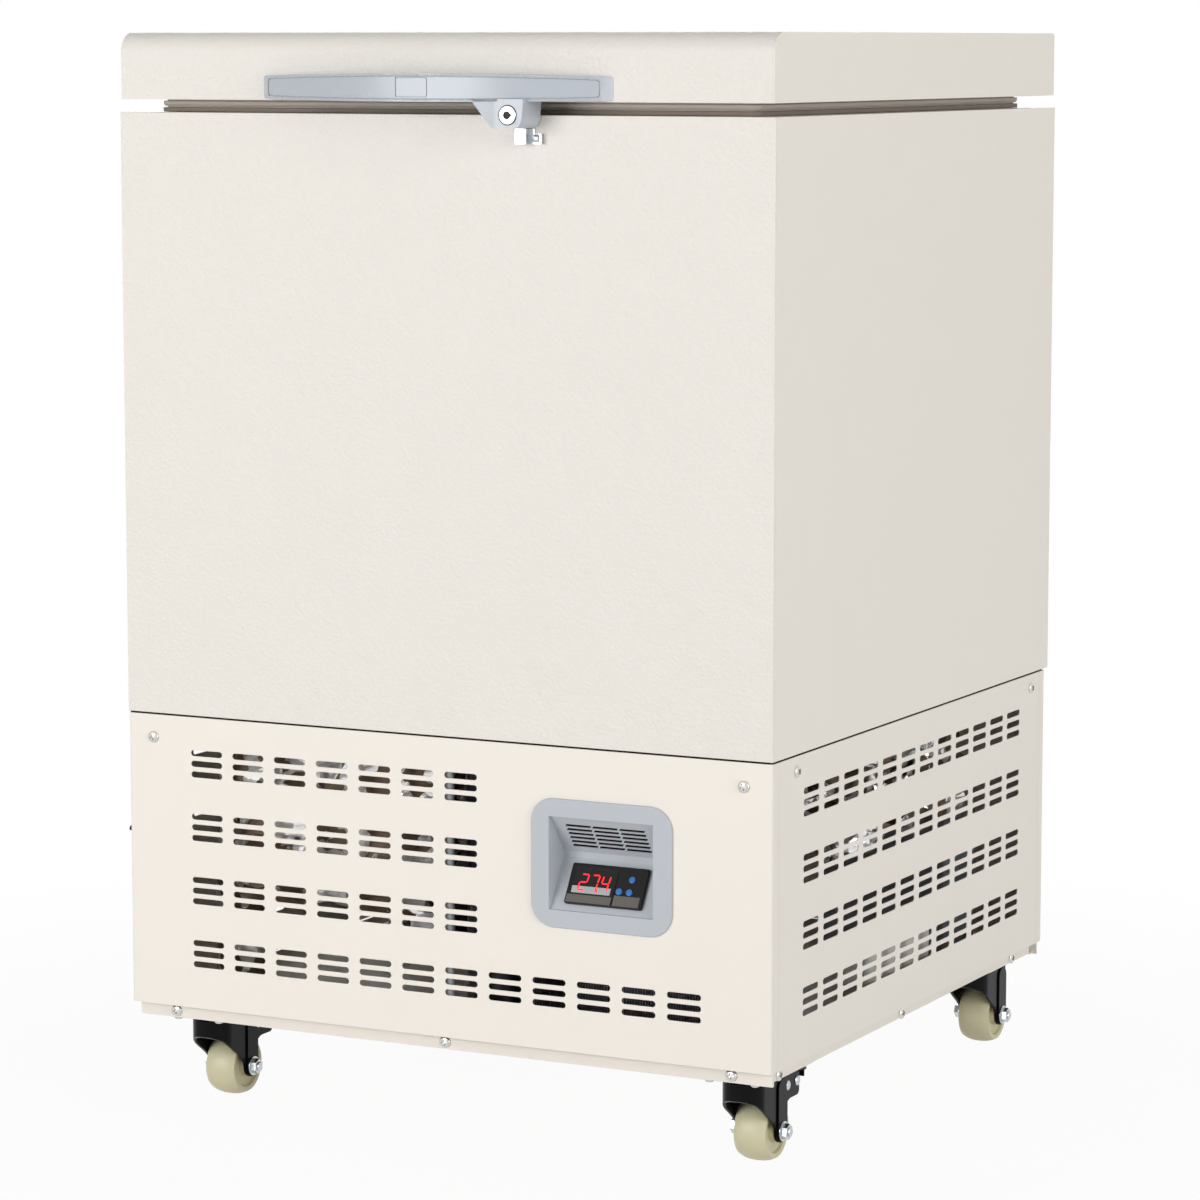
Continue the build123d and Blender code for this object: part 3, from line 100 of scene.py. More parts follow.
@dataclass(frozen=True)
class Finish:
    """A surface finish with a mottled tone, a fine grain and a varying polish."""

    name: str
    colour: str
    roughness: float = 0.5
    metallic: float = 0.0
    tone: float = 0.03
    tone_size: float = 60.0
    grain: float = 0.02
    grain_size: float = 1.5
    polish: float = 0.05
    coat: float = 0.0
    specular: float = 0.5

    def material(self) -> bpy.types.Material:
        """Return the finish's material, made on its first use."""
        made = bpy.data.materials.get(self.name)
        return made if made else self.build()

    def build(self) -> bpy.types.Material:
        """Make the material: base shader, mottled tone, polish and relief.

        Returns:
            The finished material.
        """
        made = bpy.data.materials.new(self.name)
        made.use_nodes = True
        tree = made.node_tree
        shader = tree.nodes["Principled BSDF"]
        shader.inputs["Metallic"].default_value = self.metallic
        shader.inputs["Coat Weight"].default_value = self.coat
        shader.inputs["Coat Roughness"].default_value = 0.08
        shader.inputs["Specular IOR Level"].default_value = self.specular
        place = add_node(tree, "TexCoord").outputs["Object"]
        tree.links.new(self.mottle(tree, place), shader.inputs["Base Color"])
        tree.links.new(self.gloss(tree, place), shader.inputs["Roughness"])
        tree.links.new(self.relief(tree, place), shader.inputs["Normal"])
        return made

    def mottle(self, tree: bpy.types.NodeTree, place: bpy.types.NodeSocket) -> bpy.types.NodeSocket:
        """Vary the colour's brightness slowly over the surface.

        Args:
            tree: the material's node tree.
            place: the Object coordinates.

        Returns:
            The colour's output socket.
        """
        cloud = add_node(tree, "TexNoise", {"Scale": 1 / (self.tone_size * MM), "Detail": 3.0},
                         {"Vector": place})
        shift = add_node(tree, "MapRange", {"To Min": 1 - self.tone, "To Max": 1 + self.tone},
                         {"Value": cloud.outputs[0]})
        tint = add_node(tree, "HueSaturation", {"Color": linear(self.colour)},
                        {"Value": shift.outputs[0]})
        return tint.outputs[0]

    def gloss(self, tree: bpy.types.NodeTree, place: bpy.types.NodeSocket) -> bpy.types.NodeSocket:
        """Vary the roughness a little, as handling and moulding leave it.

        Args:
            tree: the material's node tree.
            place: the Object coordinates.

        Returns:
            The roughness's output socket.
        """
        smear = add_node(tree, "TexNoise", {"Scale": 3 / (self.tone_size * MM), "Detail": 4.0},
                         {"Vector": place})
        low = max(0.02, self.roughness - self.polish)
        level = add_node(tree, "MapRange", {"To Min": low, "To Max": self.roughness + self.polish},
                         {"Value": smear.outputs[0]})
        return level.outputs[0]

    def relief(self, tree: bpy.types.NodeTree, place: bpy.types.NodeSocket) -> bpy.types.NodeSocket:
        """Raise a fine grain on the surface.

        Args:
            tree: the material's node tree.
            place: the Object coordinates.

        Returns:
            The normal's output socket.
        """
        grain = add_node(tree, "TexNoise", {"Scale": 1 / (self.grain_size * MM), "Detail": 2.0},
                         {"Vector": place})
        bump = add_node(tree, "Bump", {"Strength": 1.0, "Distance": self.grain * MM},
                        {"Height": grain.outputs[0]})
        return bump.outputs[0]


@dataclass(frozen=True)
class StuccoSheet(Finish):
    """Prepainted steel sheet rolled with a pebbled stucco emboss."""

    pebble: float = 2.4
    pebble_height: float = 0.45

    def relief(self, tree: bpy.types.NodeTree, place: bpy.types.NodeSocket) -> bpy.types.NodeSocket:
        """Raise rounded pebbles of uneven size.

        Args:
            tree: the material's node tree.
            place: the Object coordinates.

        Returns:
            The normal's output socket.
        """
        pebbles = add_node(tree, "TexVoronoi", {"feature": "SMOOTH_F1", "Smoothness": 0.6,
                                                "Scale": 1 / (self.pebble * MM)},
                           {"Vector": place})
        uneven = add_node(tree, "TexNoise", {"Scale": 0.6 / (self.pebble * MM), "Detail": 2.0},
                          {"Vector": place})
        height = add_node(tree, "Math", {"operation": "MULTIPLY_ADD", 1: -1.0},
                          {0: pebbles.outputs["Distance"], 2: uneven.outputs[0]})
        bump = add_node(tree, "Bump", {"Strength": 1.0, "Distance": self.pebble_height * MM},
                        {"Height": height.outputs[0]})
        return bump.outputs[0]


@dataclass(frozen=True)
class BrushedSheet(Finish):
    """Metal drawn or brushed along one axis, with long fine scratches."""

    stretch: tuple[float, float, float] = (1.0, 1.0, 40.0)

    def relief(self, tree: bpy.types.NodeTree, place: bpy.types.NodeSocket) -> bpy.types.NodeSocket:
        """Draw the scratches as a stretched noise.

        Args:
            tree: the material's node tree.
            place: the Object coordinates.

        Returns:
            The normal's output socket.
        """
        drawn = add_node(tree, "Mapping", {"Scale": self.stretch}, {"Vector": place})
        grain = add_node(tree, "TexNoise", {"Scale": 1 / (self.grain_size * MM * 10), "Detail": 5.0},
                         {"Vector": drawn.outputs[0]})
        bump = add_node(tree, "Bump", {"Strength": 0.6, "Distance": self.grain * MM},
                        {"Height": grain.outputs[0]})
        return bump.outputs[0]


@dataclass(frozen=True)
class FoilFace(Finish):
    """Crumpled aluminium foil in torn patches over brown lagging."""

    crease: float = 14.0
    crease_height: float = 1.5
    lagging: str = "7A6A5A"
    lagging_roughness: float = 0.75
    patch: float = 26.0
    tear: tuple[float, float] = (0.47, 0.49)

    def torn(self, tree: bpy.types.NodeTree, place: bpy.types.NodeSocket) -> bpy.types.NodeSocket:
        """Tell the torn places, one on the lagging and nought on the foil."""
        low, high = self.tear
        patches = add_node(tree, "TexNoise", {"Scale": 1 / (self.patch * MM), "Detail": 2.0},
                           {"Vector": place})
        edge = add_node(tree, "MapRange", {"From Min": low, "From Max": high},
                        {"Value": patches.outputs[0]})
        return edge.outputs[0]

    def mottle(self, tree: bpy.types.NodeTree, place: bpy.types.NodeSocket) -> bpy.types.NodeSocket:
        """Show the lagging's brown where the foil is torn."""
        mixed = add_node(tree, "Mix", {"data_type": "RGBA", 7: linear(self.lagging)},
                         {0: self.torn(tree, place), 6: super().mottle(tree, place)})
        return mixed.outputs[2]

    def gloss(self, tree: bpy.types.NodeTree, place: bpy.types.NodeSocket) -> bpy.types.NodeSocket:
        """Keep the foil bright and the lagging dull."""
        level = add_node(tree, "MapRange", {"To Max": self.lagging_roughness},
                         {"Value": self.torn(tree, place), "To Min": super().gloss(tree, place)})
        return level.outputs[0]

    def relief(self, tree: bpy.types.NodeTree, place: bpy.types.NodeSocket) -> bpy.types.NodeSocket:
        """Fold the foil along the borders of uneven cells.

        Args:
            tree: the material's node tree.
            place: the Object coordinates.

        Returns:
            The normal's output socket.
        """
        cells = add_node(tree, "TexVoronoi", {"Scale": 1 / (self.crease * MM)}, {"Vector": place})
        bump = add_node(tree, "Bump", {"Strength": 1.0, "Distance": self.crease_height * MM},
                        {"Height": cells.outputs["Distance"]})
        return bump.outputs[0]


@dataclass(frozen=True)
class LitSegment(Finish):
    """Red light-emitting segment behind a smoked lens."""

    strength: float = 1.0

    def build(self) -> bpy.types.Material:
        """Add the segment's own light to the plain finish.

        Returns:
            The finished material.
        """
        made = super().build()
        shader = made.node_tree.nodes["Principled BSDF"]
        shader.inputs["Emission Color"].default_value = linear(self.colour)
        shader.inputs["Emission Strength"].default_value = self.strength
        return made


# Embossed prepainted steel: warm white, half gloss, so the pebbles catch small highlights
STUCCO = StuccoSheet("stucco_embossed_enamel", "EDE8E1", roughness=0.45, tone=0.012,
                     specular=0.2)
# Smooth powder-coated steel: warm white with a faint orange peel
SMOOTH_COAT = Finish("smooth_powder_coat", "F3EDE4", roughness=0.45, tone=0.01, grain=0.012,
                     grain_size=2.2, specular=0.35)
# The tray under the panels, in the same coat but a little duller
FRAME_COAT = Finish("frame_powder_coat", "F0E9DF", roughness=0.5, tone=0.02, grain=0.02)
# Brushed stainless steel of the tank: fine upright scratches
TANK_STEEL = BrushedSheet("brushed_stainless_steel", "C9C9C7", roughness=0.32, metallic=1.0)
# Closed-cell polyurethane foam: pale yellow, dull and porous
FOAM = Finish("polyurethane_foam", "E8D9A2", roughness=0.9, tone=0.06, grain=0.3, grain_size=2.0)
# Moulded polystyrene inside the lid and round the tank's mouth: clean white with a soft sheen
INNER_PLASTIC = Finish("moulded_polystyrene", "E9E8E4", roughness=0.38, tone=0.01)
# Extruded soft vinyl of the lid's seal: grey-brown, dull
SEAL = Finish("extruded_vinyl_seal", "C8BEB3", roughness=0.6, tone=0.01, tone_size=60.0)
# The seal's lowest lip, in a darker brown copy of the same vinyl
SEAL_FOOT = Finish("darker_vinyl_seal_foot", "84786C", roughness=0.6, tone=0.015, tone_size=60.0)
# Dull brown-black sheet, finely pored, set in the seam and behind the grille where there is only shade:
# painted shade
PAINTED_SHADE = Finish("painted_shade_sheet", "2B231D", roughness=0.85, tone=0.08, grain=0.05, specular=0.2)
# Gloss moulded plastic of the handle: cool grey with clear highlights
HANDLE_PLASTIC = Finish("gloss_moulded_abs", "B8BEC6", roughness=0.26, tone=0.01, grain=0.006)
# Satin moulded plastic of the control surround: fine spark-eroded texture
BEZEL_PLASTIC = Finish("satin_moulded_abs", "BBC0C7", roughness=0.48, tone=0.015, grain=0.03,
                       grain_size=0.8)
# Black moulded plastic of the controller, switch and inlet
BLACK_PLASTIC = Finish("black_moulded_abs", "0F0F11", roughness=0.4, tone=0.05, grain=0.02,
                       grain_size=0.8, specular=0.22)
# Blue silicone-faced keys
KEY_BLUE = Finish("blue_moulded_key", "2C78C2", roughness=0.25, tone=0.03, tone_size=4.0)
# Pale grey printed band under the digits
PALE_PRINT = Finish("pale_grey_print", "B2B2B6", roughness=0.5, tone=0.04, tone_size=6.0)
# Grey-brown printed foot of the controller's face
BROWN_PRINT = Finish("grey_brown_print", "5E5953", roughness=0.5, tone=0.08, tone_size=5.0)
# Smoked acrylic lens over the digits
LENS = Finish("smoked_acrylic_lens", "0D0A0B", roughness=0.12, tone=0.02, grain=0.002,
              specular=0.3)
# Bright zinc plate with a cool cast
ZINC = Finish("bright_zinc_plate", "C6CACD", roughness=0.24, metallic=1.0, tone=0.06,
              tone_size=14.0)
# Polished nickel plate of lock and screws
NICKEL = Finish("polished_nickel_plate", "CFCDC8", roughness=0.18, metallic=1.0, tone=0.03,
                tone_size=10.0)
# Gloss black electrophoretic paint on pressed steel, with a blue cast in its reflections
BLACK_ENAMEL = Finish("gloss_black_enamel", "090A0D", roughness=0.22, tone=0.1, tone_size=20.0,
                      grain=0.02, grain_size=3.0, specular=0.1)
# Cast nylon of the wheels: cream, slightly waxy
NYLON = Finish("cast_nylon", "D3CDAB", roughness=0.42, tone=0.03, tone_size=18.0, grain=0.03)
# Gloss black paint on the compressor's pressed shell
COMPRESSOR_PAINT = Finish("compressor_black_enamel", "15161A", roughness=0.3, tone=0.08)
# Mill-finish aluminium fins and fan
FIN_STOCK = Finish("mill_finish_aluminium", "C9CBCE", roughness=0.34, metallic=1.0, tone=0.05)
# Bright drawn copper tube
COPPER = Finish("drawn_copper", "C77B52", roughness=0.28, metallic=1.0, tone=0.08, tone_size=20.0)
# Foil-faced lagging, torn in places
FOIL = FoilFace("torn_aluminium_foil", "FDFDFE", roughness=0.14, metallic=0.6)
# Satin grey enamel of inner sheet metal and boxes
GREY_ENAMEL = Finish("satin_grey_enamel", "8E9193", roughness=0.48, tone=0.03)
# The lit digits
DIGIT_RED = LitSegment("lit_red_segment", "F4222B", roughness=0.3, strength=1.0)

SLOT_FINISHES: dict[str, Finish] = {
    "cabinet_enamel": STUCCO,
    "smooth_enamel": SMOOTH_COAT,
    "frame_enamel": FRAME_COAT,
    "tank_steel": TANK_STEEL,
    "insulation": FOAM,
    "inner_plastic": INNER_PLASTIC,
    "seal_rubber": SEAL,
    "handle_plastic": HANDLE_PLASTIC,
    "bezel_plastic": BEZEL_PLASTIC,
    "black_plastic": BLACK_PLASTIC,
    "blue_key": KEY_BLUE,
    "display_glass": LENS,
    "zinc_steel": ZINC,
    "nickel_steel": NICKEL,
    "black_enamel": BLACK_ENAMEL,
    "nylon": NYLON,
    "compressor_enamel": COMPRESSOR_PAINT,
    "aluminium_fin": FIN_STOCK,
    "copper": COPPER,
    "foil_lagging": FOIL,
    "grey_enamel": GREY_ENAMEL,
}




def tables() -> tuple[dict[str, str], dict[str, str]]:
    """Read from the record which body and which material slot each node has.

    Returns:
        The body of each node, and the slot of each node.
    """
    record = frame["record"]
    bodies = {node: body for body, nodes in record["behaviour"]["bodies"].items() for node in nodes}
    slots = {row["node"]: row["material_slot"] for row in record["subparts"]}
    return bodies, slots


BODY_OF, SLOT_OF = tables()


def dress_frame() -> None:
    """Give every carried-over node the finish of its material slot."""
    for node, piece in frame["nodes"].items():
        finish = SLOT_FINISHES[SLOT_OF[node]]
        piece.data.materials.clear()
        piece.data.materials.append(finish.material())
        LOG.info("dressed %s in %s", node, finish.name)


ACROSS = Vector((1.0, 0.0, 0.0))
DEEP = Vector((0.0, 1.0, 0.0))
UP = Vector((0.0, 0.0, 1.0))
FRONT_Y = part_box("cabinet_front")[0].y / MM


def spot(x: float, y: float, z: float) -> Vector:
    """Return in metres a point given in millimetres from the cabinet's front plane."""
    return Vector((x, y + FRONT_Y, z)) * MM


@dataclass(frozen=True)
class Layout:
    """Levels and planes that the sub-assemblies share, in millimetres."""

    half_width: float = 296.0
    depth: float = 587.0
    lower_rear: float = 580.0
    caster_top: float = 80.0
    panel_bottom: float = 92.0
    panel_top: float = 338.0
    body_bottom: float = 339.5
    body_top: float = 836.5
    lid_bottom: float = 847.0
    lid_top: float = 901.0
    half_lid: float = 294.8
    sheet: float = 1.0


LAYOUT = Layout()


@dataclass(frozen=True)
class Plane:
    """A flat working plane: its origin in metres, and its across and up directions."""

    origin: Vector
    across: Vector
    up: Vector

    @property
    def out(self) -> Vector:
        """The direction that stands out of the plane."""
        return self.across.cross(self.up)

    def at(self, u: float, v: float, w: float = 0.0) -> Vector:
        """Return in metres the point at u across, v up and w out, in millimetres."""
        return self.origin + (self.across * u + self.up * v + self.out * w) * MM

    def matrix(self, u: float = 0.0, v: float = 0.0, w: float = 0.0, turn: float = 0.0) -> Matrix:
        """Carry a piece made at the world's origin, facing up, onto the plane.

        Args:
            u: millimetres across.
            v: millimetres up.
            w: millimetres out.
            turn: degrees about the plane's outward direction.

        Returns:
            The matrix of that place.
        """
        axes = Matrix((self.across, self.up, self.out)).transposed().to_4x4()
        return Matrix.Translation(self.at(u, v, w)) @ axes @ Matrix.Rotation(math.radians(turn), 4, "Z")


WORLD = Plane(Vector(), ACROSS, DEEP)
LEVEL = Plane(spot(0, 0, 0), ACROSS, DEEP)
SECTION = Plane(spot(0, 0, 0), DEEP, UP)
FRONT = Plane(spot(0, 0, 0), ACROSS, UP)
BACK = Plane(spot(0, LAYOUT.lower_rear, 0), -ACROSS, UP)
RIGHT = Plane(spot(LAYOUT.half_width, 0, 0), DEEP, UP)
LEFT = Plane(spot(-LAYOUT.half_width, 0, 0), -DEEP, UP)


class Outline:
    """Flat outlines as lists of points in millimetres."""

    @staticmethod
    def arc(centre: Flat, radius: float, start: float, end: float, steps: int) -> list[Flat]:
        """Points along an arc.

        Args:
            centre: its centre.
            radius: its radius.
            start: its first angle in degrees.
            end: its last angle in degrees.
            steps: how many straight steps it takes.

        Returns:
            The points, both ends included.
        """
        angles = [math.radians(start + (end - start) * step / steps) for step in range(steps + 1)]
        return [(centre[0] + radius * math.cos(angle), centre[1] + radius * math.sin(angle))
                for angle in angles]

    @staticmethod
    def rectangle(left: float, right: float, low: float, high: float) -> list[Flat]:
        """The four corners of a rectangle."""
        return [(left, low), (right, low), (right, high), (left, high)]

    @staticmethod
    def rounded(left: float, right: float, low: float, high: float, radius: float,
                steps: int = 6) -> list[Flat]:
        """A rectangle with round corners.

        Args:
            left: its left side.
            right: its right side.
            low: its foot.
            high: its top.
            radius: the corners' radius.
            steps: straight steps in each corner.

        Returns:
            The points, counter-clockwise.
        """
        corners = (((right - radius, low + radius), -90), ((right - radius, high - radius), 0),
                   ((left + radius, high - radius), 90), ((left + radius, low + radius), 180))
        return [point for centre, start in corners
                for point in Outline.arc(centre, radius, start, start + 90, steps)]

    @staticmethod
    def capsule(length: float, height: float, steps: int = 8) -> list[Flat]:
        """A slot with round ends, about its own middle."""
        run = (length - height) / 2
        return (Outline.arc((run, 0.0), height / 2, -90, 90, steps)
                + Outline.arc((-run, 0.0), height / 2, 90, 270, steps))

    @staticmethod
    def regular(radius: float, sides: int, turn: float = 0.0) -> list[Flat]:
        """A regular polygon about its own middle."""
        return Outline.arc((0.0, 0.0), radius, turn, turn + 360 * (sides - 1) / sides, sides - 1)

    @staticmethod
    def sideways(line: Sequence[Flat], distance: float) -> list[Flat]:
        """Move an open line to its left, with mitred corners.

        Args:
            line: its points.
            distance: millimetres to the left.

        Returns:
            The moved points.
        """
        moved = []
        last = len(line) - 1
        for index, point in enumerate(line):
            pairs = [(start, start + 1) for start in (index - 1, index) if 0 <= start < last]
            legs = [Vector(line[end]) - Vector(line[start]) for start, end in pairs]
            sides = [Vector((-leg.y, leg.x)).normalized() for leg in legs]
            total = sum(sides, Vector((0.0, 0.0)))
            shift = total * (distance / total.dot(sides[0]))
            moved.append((point[0] + shift.x, point[1] + shift.y))
        return moved


    @staticmethod
    def before(line: Sequence[Flat], level: float) -> list[Flat]:
        """Keep the part of a line whose second values lie under a level.

        Args:
            line: its points.
            level: where it is cut off.

        Returns:
            The points that are left, with the two crossings at the ends.
        """
        kept = []
        for start, end in zip(line, line[1:]):
            if (start[1] < level) != (end[1] < level):
                share = (level - start[1]) / (end[1] - start[1])
                kept.append((start[0] + share * (end[0] - start[0]), level))
            if end[1] < level:
                kept.append(end)
        return kept


class Joining(Enum):
    """The ways in which two solids are put together."""

    CUT = "DIFFERENCE"
    FUSE = "UNION"
    KEEP = "INTERSECT"


class Bench:
    """Shapes, cuts and finishing of meshes, with a modeller's own operators."""

    @staticmethod
    def clear() -> None:
        """Leave edit mode and deselect everything."""
        if bpy.context.object and bpy.context.object.mode != "OBJECT":
            bpy.ops.object.mode_set(mode="OBJECT")
        bpy.ops.object.select_all(action="DESELECT")

    @staticmethod
    def named(name: str) -> Piece:
        """Name the newest primitive and return it."""
        piece = bpy.context.active_object
        piece.name = name
        piece.data.name = name
        return piece

    @staticmethod
    def pick(*pieces: Piece) -> None:
        """Select these pieces alone, the first one active."""
        Bench.clear()
        for piece in pieces:
            piece.select_set(True)
        bpy.context.view_layer.objects.active = pieces[0]

    @staticmethod
    def line(name: str, places: Sequence[Vector]) -> Piece:
        """Draw a line of edges by extruding one vertex, and stay in edit mode.

        Args:
            name: the piece's name.
            places: its points in metres.

        Returns:
            The piece, with the last vertex selected.
        """
        Bench.clear()
        bpy.ops.mesh.primitive_plane_add(size=MM)
        piece = Bench.named(name)
        bpy.ops.object.mode_set(mode="EDIT")
        bpy.ops.mesh.select_all(action="SELECT")
        bpy.ops.mesh.merge(type="CENTER")
        bpy.ops.transform.translate(value=places[0])
        for start, end in zip(places, places[1:]):
            bpy.ops.mesh.extrude_region_move(TRANSFORM_OT_translate={"value": end - start})
        return piece

    @staticmethod
    def slab(name: str, plane: Plane, points: Sequence[Flat], low: float, high: float) -> Piece:
        """Extrude a flat outline between two distances from its plane.

        Args:
            name: the piece's name.
            plane: the plane that the outline lies in.
            points: the outline, in millimetres.
            low: the nearer distance along the plane's outward direction.
            high: the farther one.

        Returns:
            The closed solid.
        """
        piece = Bench.line(name, [plane.at(u, v, low) for u, v in points])
        bpy.ops.mesh.select_all(action="SELECT")
        bpy.ops.mesh.edge_face_add()
        bpy.ops.mesh.extrude_region_move(
            TRANSFORM_OT_translate={"value": plane.out * ((high - low) * MM)})
        bpy.ops.mesh.select_all(action="SELECT")
        bpy.ops.mesh.normals_make_consistent(inside=False)
        bpy.ops.object.mode_set(mode="OBJECT")
        return piece

    @staticmethod
    def block(name: str, x: Flat, y: Flat, z: Flat) -> Piece:
        """A box between two values of x, y and z, in the cabinet's millimetres."""
        return Bench.slab(name, LEVEL, Outline.rectangle(*x, *y), *z)

    @staticmethod
    def turned(name: str, plane: Plane, profile: Sequence[Flat], steps: int = 32,
               u: float = 0.0, v: float = 0.0) -> Piece:
        """Spin a profile about a plane's outward direction.

        Args:
            name: the piece's name.
            plane: the plane that the axis stands on.
            profile: points as radius and distance out, from axis to axis.
            steps: steps of the full turn.
            u: where the axis stands, across.
            v: where the axis stands, up.

        Returns:
            The closed solid.
        """
        piece = Bench.line(name, [plane.at(u + radius, v, out) for radius, out in profile])
        bpy.ops.mesh.select_all(action="SELECT")
        bpy.ops.mesh.spin(steps=steps, angle=FULL_TURN, center=plane.at(u, v), axis=plane.out)
        bpy.ops.mesh.select_all(action="SELECT")
        bpy.ops.mesh.remove_doubles(threshold=0.005 * MM)
        bpy.ops.mesh.select_all(action="SELECT")
        bpy.ops.mesh.normals_make_consistent(inside=False)
        bpy.ops.object.mode_set(mode="OBJECT")
        return piece

    @staticmethod
    def disc(name: str, plane: Plane, u: float, v: float, radius: float, low: float,
             high: float, steps: int = 32) -> Piece:
        """A plain round bar that stands on a plane."""
        return Bench.turned(name, plane, [(0, low), (radius, low), (radius, high), (0, high)],
                            steps, u, v)

    @staticmethod
    def change(piece: Piece, kind: str, settings: dict) -> Piece:
        """Add a modifier with its settings and apply it.

        Args:
            piece: the piece to change.
            kind: the modifier's type.
            settings: its attributes by name.

        Returns:
            The same piece.
        """
        Bench.pick(piece)
        bpy.ops.object.modifier_add(type=kind)
        modifier = piece.modifiers[-1]
        for key, value in settings.items():
            setattr(modifier, key, value)
        bpy.ops.object.modifier_apply(modifier=modifier.name)
        return piece

    @staticmethod
    def combine(piece: Piece, other: Piece, way: Joining) -> Piece:
        """Cut, fuse or intersect a piece with another one, which is used up."""
        Bench.change(piece, "BOOLEAN", {"operation": way.value, "solver": "EXACT", "object": other})
        bpy.data.objects.remove(other, do_unlink=True)
        return piece

    @staticmethod
    def cut(piece: Piece, *cutters: Piece) -> Piece:
        """Take every cutter out of the piece."""
        for cutter in cutters:
            Bench.combine(piece, cutter, Joining.CUT)
        return piece

    @staticmethod
    def fuse(piece: Piece, *others: Piece) -> Piece:
        """Grow the piece by every other one."""
        for other in others:
            Bench.combine(piece, other, Joining.FUSE)
        return piece

    @staticmethod
    def soften(piece: Piece, width: float, segments: int = 2, angle: float = 32.0) -> Piece:
        """Round the sharp edges and shade the rest smoothly.

        Args:
            piece: the piece to finish.
            width: the rounding's width in millimetres.
            segments: its facets.
            angle: edges sharper than this, in degrees, are rounded.

        Returns:
            The same piece.
        """
        if width > 0:
            Bench.change(piece, "BEVEL", {"width": width * MM, "segments": segments,
                                          "limit_method": "ANGLE",
                                          "angle_limit": math.radians(angle)})
        Bench.pick(piece)
        bpy.ops.object.shade_smooth_by_angle(angle=math.radians(angle))
        Bench.change(piece, "WEIGHTED_NORMAL", {"keep_sharp": True, "weight": 100})
        return piece

    @staticmethod
    def join(name: str, *pieces: Piece) -> Piece:
        """Join pieces into one object."""
        Bench.pick(*pieces)
        if len(pieces) > 1:
            bpy.ops.object.join()
        return Bench.named(name)

    @staticmethod
    def copies(name: str, piece: Piece, places: Iterable[Matrix]) -> Piece:
        """Join copies of a piece at several places, and use the piece itself up.

        Args:
            name: the joined piece's name.
            piece: the pattern, modelled at the origin.
            places: one matrix for each copy.

        Returns:
            The joined piece.
        """
        twins = [Bench.twin(f"{name}_{index}", piece, place) for index, place in enumerate(places)]
        bpy.data.objects.remove(piece, do_unlink=True)
        return Bench.join(name, *twins)

    @staticmethod
    def twin(name: str, piece: Piece, place: Matrix) -> Piece:
        """Copy a piece to a place, and put that place in its mesh."""
        made = piece.copy()
        made.data = piece.data.copy()
        made.name = name
        made.data.name = name
        bpy.context.scene.collection.objects.link(made)
        made.matrix_world = place
        Bench.pick(made)
        bpy.ops.object.transform_apply(location=True, rotation=True, scale=True)
        return made

    @staticmethod
    def refine(node: str, name: str, width: float, finish: Finish | None = None) -> Piece:
        """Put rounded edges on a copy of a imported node, and show that copy instead.

        Args:
            node: the CAD node.
            name: the new piece's name.
            width: the rounding's width in millimetres.
            finish: its finish, or None for that of its slot.

        Returns:
            The new piece.
        """
        made = Bench.twin(name, frame["nodes"][node], Matrix())
        for key in list(made.keys()):
            del made[key]
        bpy.ops.object.mode_set(mode="EDIT")
        bpy.ops.mesh.select_all(action="SELECT")
        bpy.ops.mesh.remove_doubles(threshold=0.002 * MM)
        bpy.ops.mesh.dissolve_limited(angle_limit=math.radians(0.5))
        bpy.ops.object.mode_set(mode="OBJECT")
        Bench.soften(made, width)
        return Bench.deliver(made, finish or SLOT_FINISHES[SLOT_OF[node]], node, node)

    @staticmethod
    def deliver(piece: Piece, finish: Finish | None, node: str, *stands_for: str) -> Piece:
        """Give a piece its finish and its body, and hide the nodes it stands for.

        Args:
            piece: the finished piece.
            finish: its finish, or None where it has its materials already.
            node: the CAD node whose body it takes.
            stands_for: the CAD nodes that it replaces.

        Returns:
            The same piece.
        """
        Bench.pick(piece)
        bpy.ops.object.transform_apply(location=True, rotation=True, scale=True)
        if finish:
            piece.data.materials.clear()
            piece.data.materials.append(finish.material())
        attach(piece, BODY_OF[node])
        if stands_for:
            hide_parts(*stands_for)
        LOG.info("built %s", piece.name)
        return piece


@dataclass(frozen=True)
class Cabinet:
    """The insulated body's outer sheets."""

    edge: float = 0.8
    seam: float = 0.1

    def build(self) -> None:
        """Build the front and the sides, and lay the strip behind the seam."""
        half, sheet = LAYOUT.half_width, LAYOUT.sheet
        low, high = LAYOUT.body_bottom, LAYOUT.body_top
        front = Bench.block("cabinet_front_sheet", (-half, half), (0, sheet), (low, high))
        Bench.deliver(Bench.soften(front, self.edge * 0.6, 3), STUCCO, "cabinet_front",
                      "cabinet_front")
        run = (sheet + self.seam, LAYOUT.depth - sheet - self.seam)
        left = Bench.block("left_sheet", (-half, sheet - half), run, (low, high))
        right = Bench.block("right_sheet", (half - sheet, half), run, (low, high))
        sides = Bench.join("cabinet_side_sheets", left, right)
        Bench.deliver(Bench.soften(sides, 0.3), SMOOTH_COAT, "cabinet_sides", "cabinet_sides")
        self.lay_seam_shade()

    def lay_seam_shade(self) -> None:
        """Lay a dark brown-black strip behind the seam between the body and the lower panels: painted
        shade in the gap.
        """
        half, rear = LAYOUT.half_width - 1.3, LAYOUT.lower_rear - 4
        # A dark ring standing in for the shade inside the seam: painted shade
        ring = Bench.block("seam_painted_shade", (-half, half), (1.2, rear),
                           (LAYOUT.panel_top - 3, LAYOUT.body_bottom + 3))
        hole = Bench.block("hole", (3 - half, half - 3), (4, rear - 3),
                           (LAYOUT.panel_top - 9, LAYOUT.body_bottom + 9))
        Bench.deliver(Bench.soften(Bench.cut(ring, hole), 0.2), PAINTED_SHADE, "cabinet_sides")


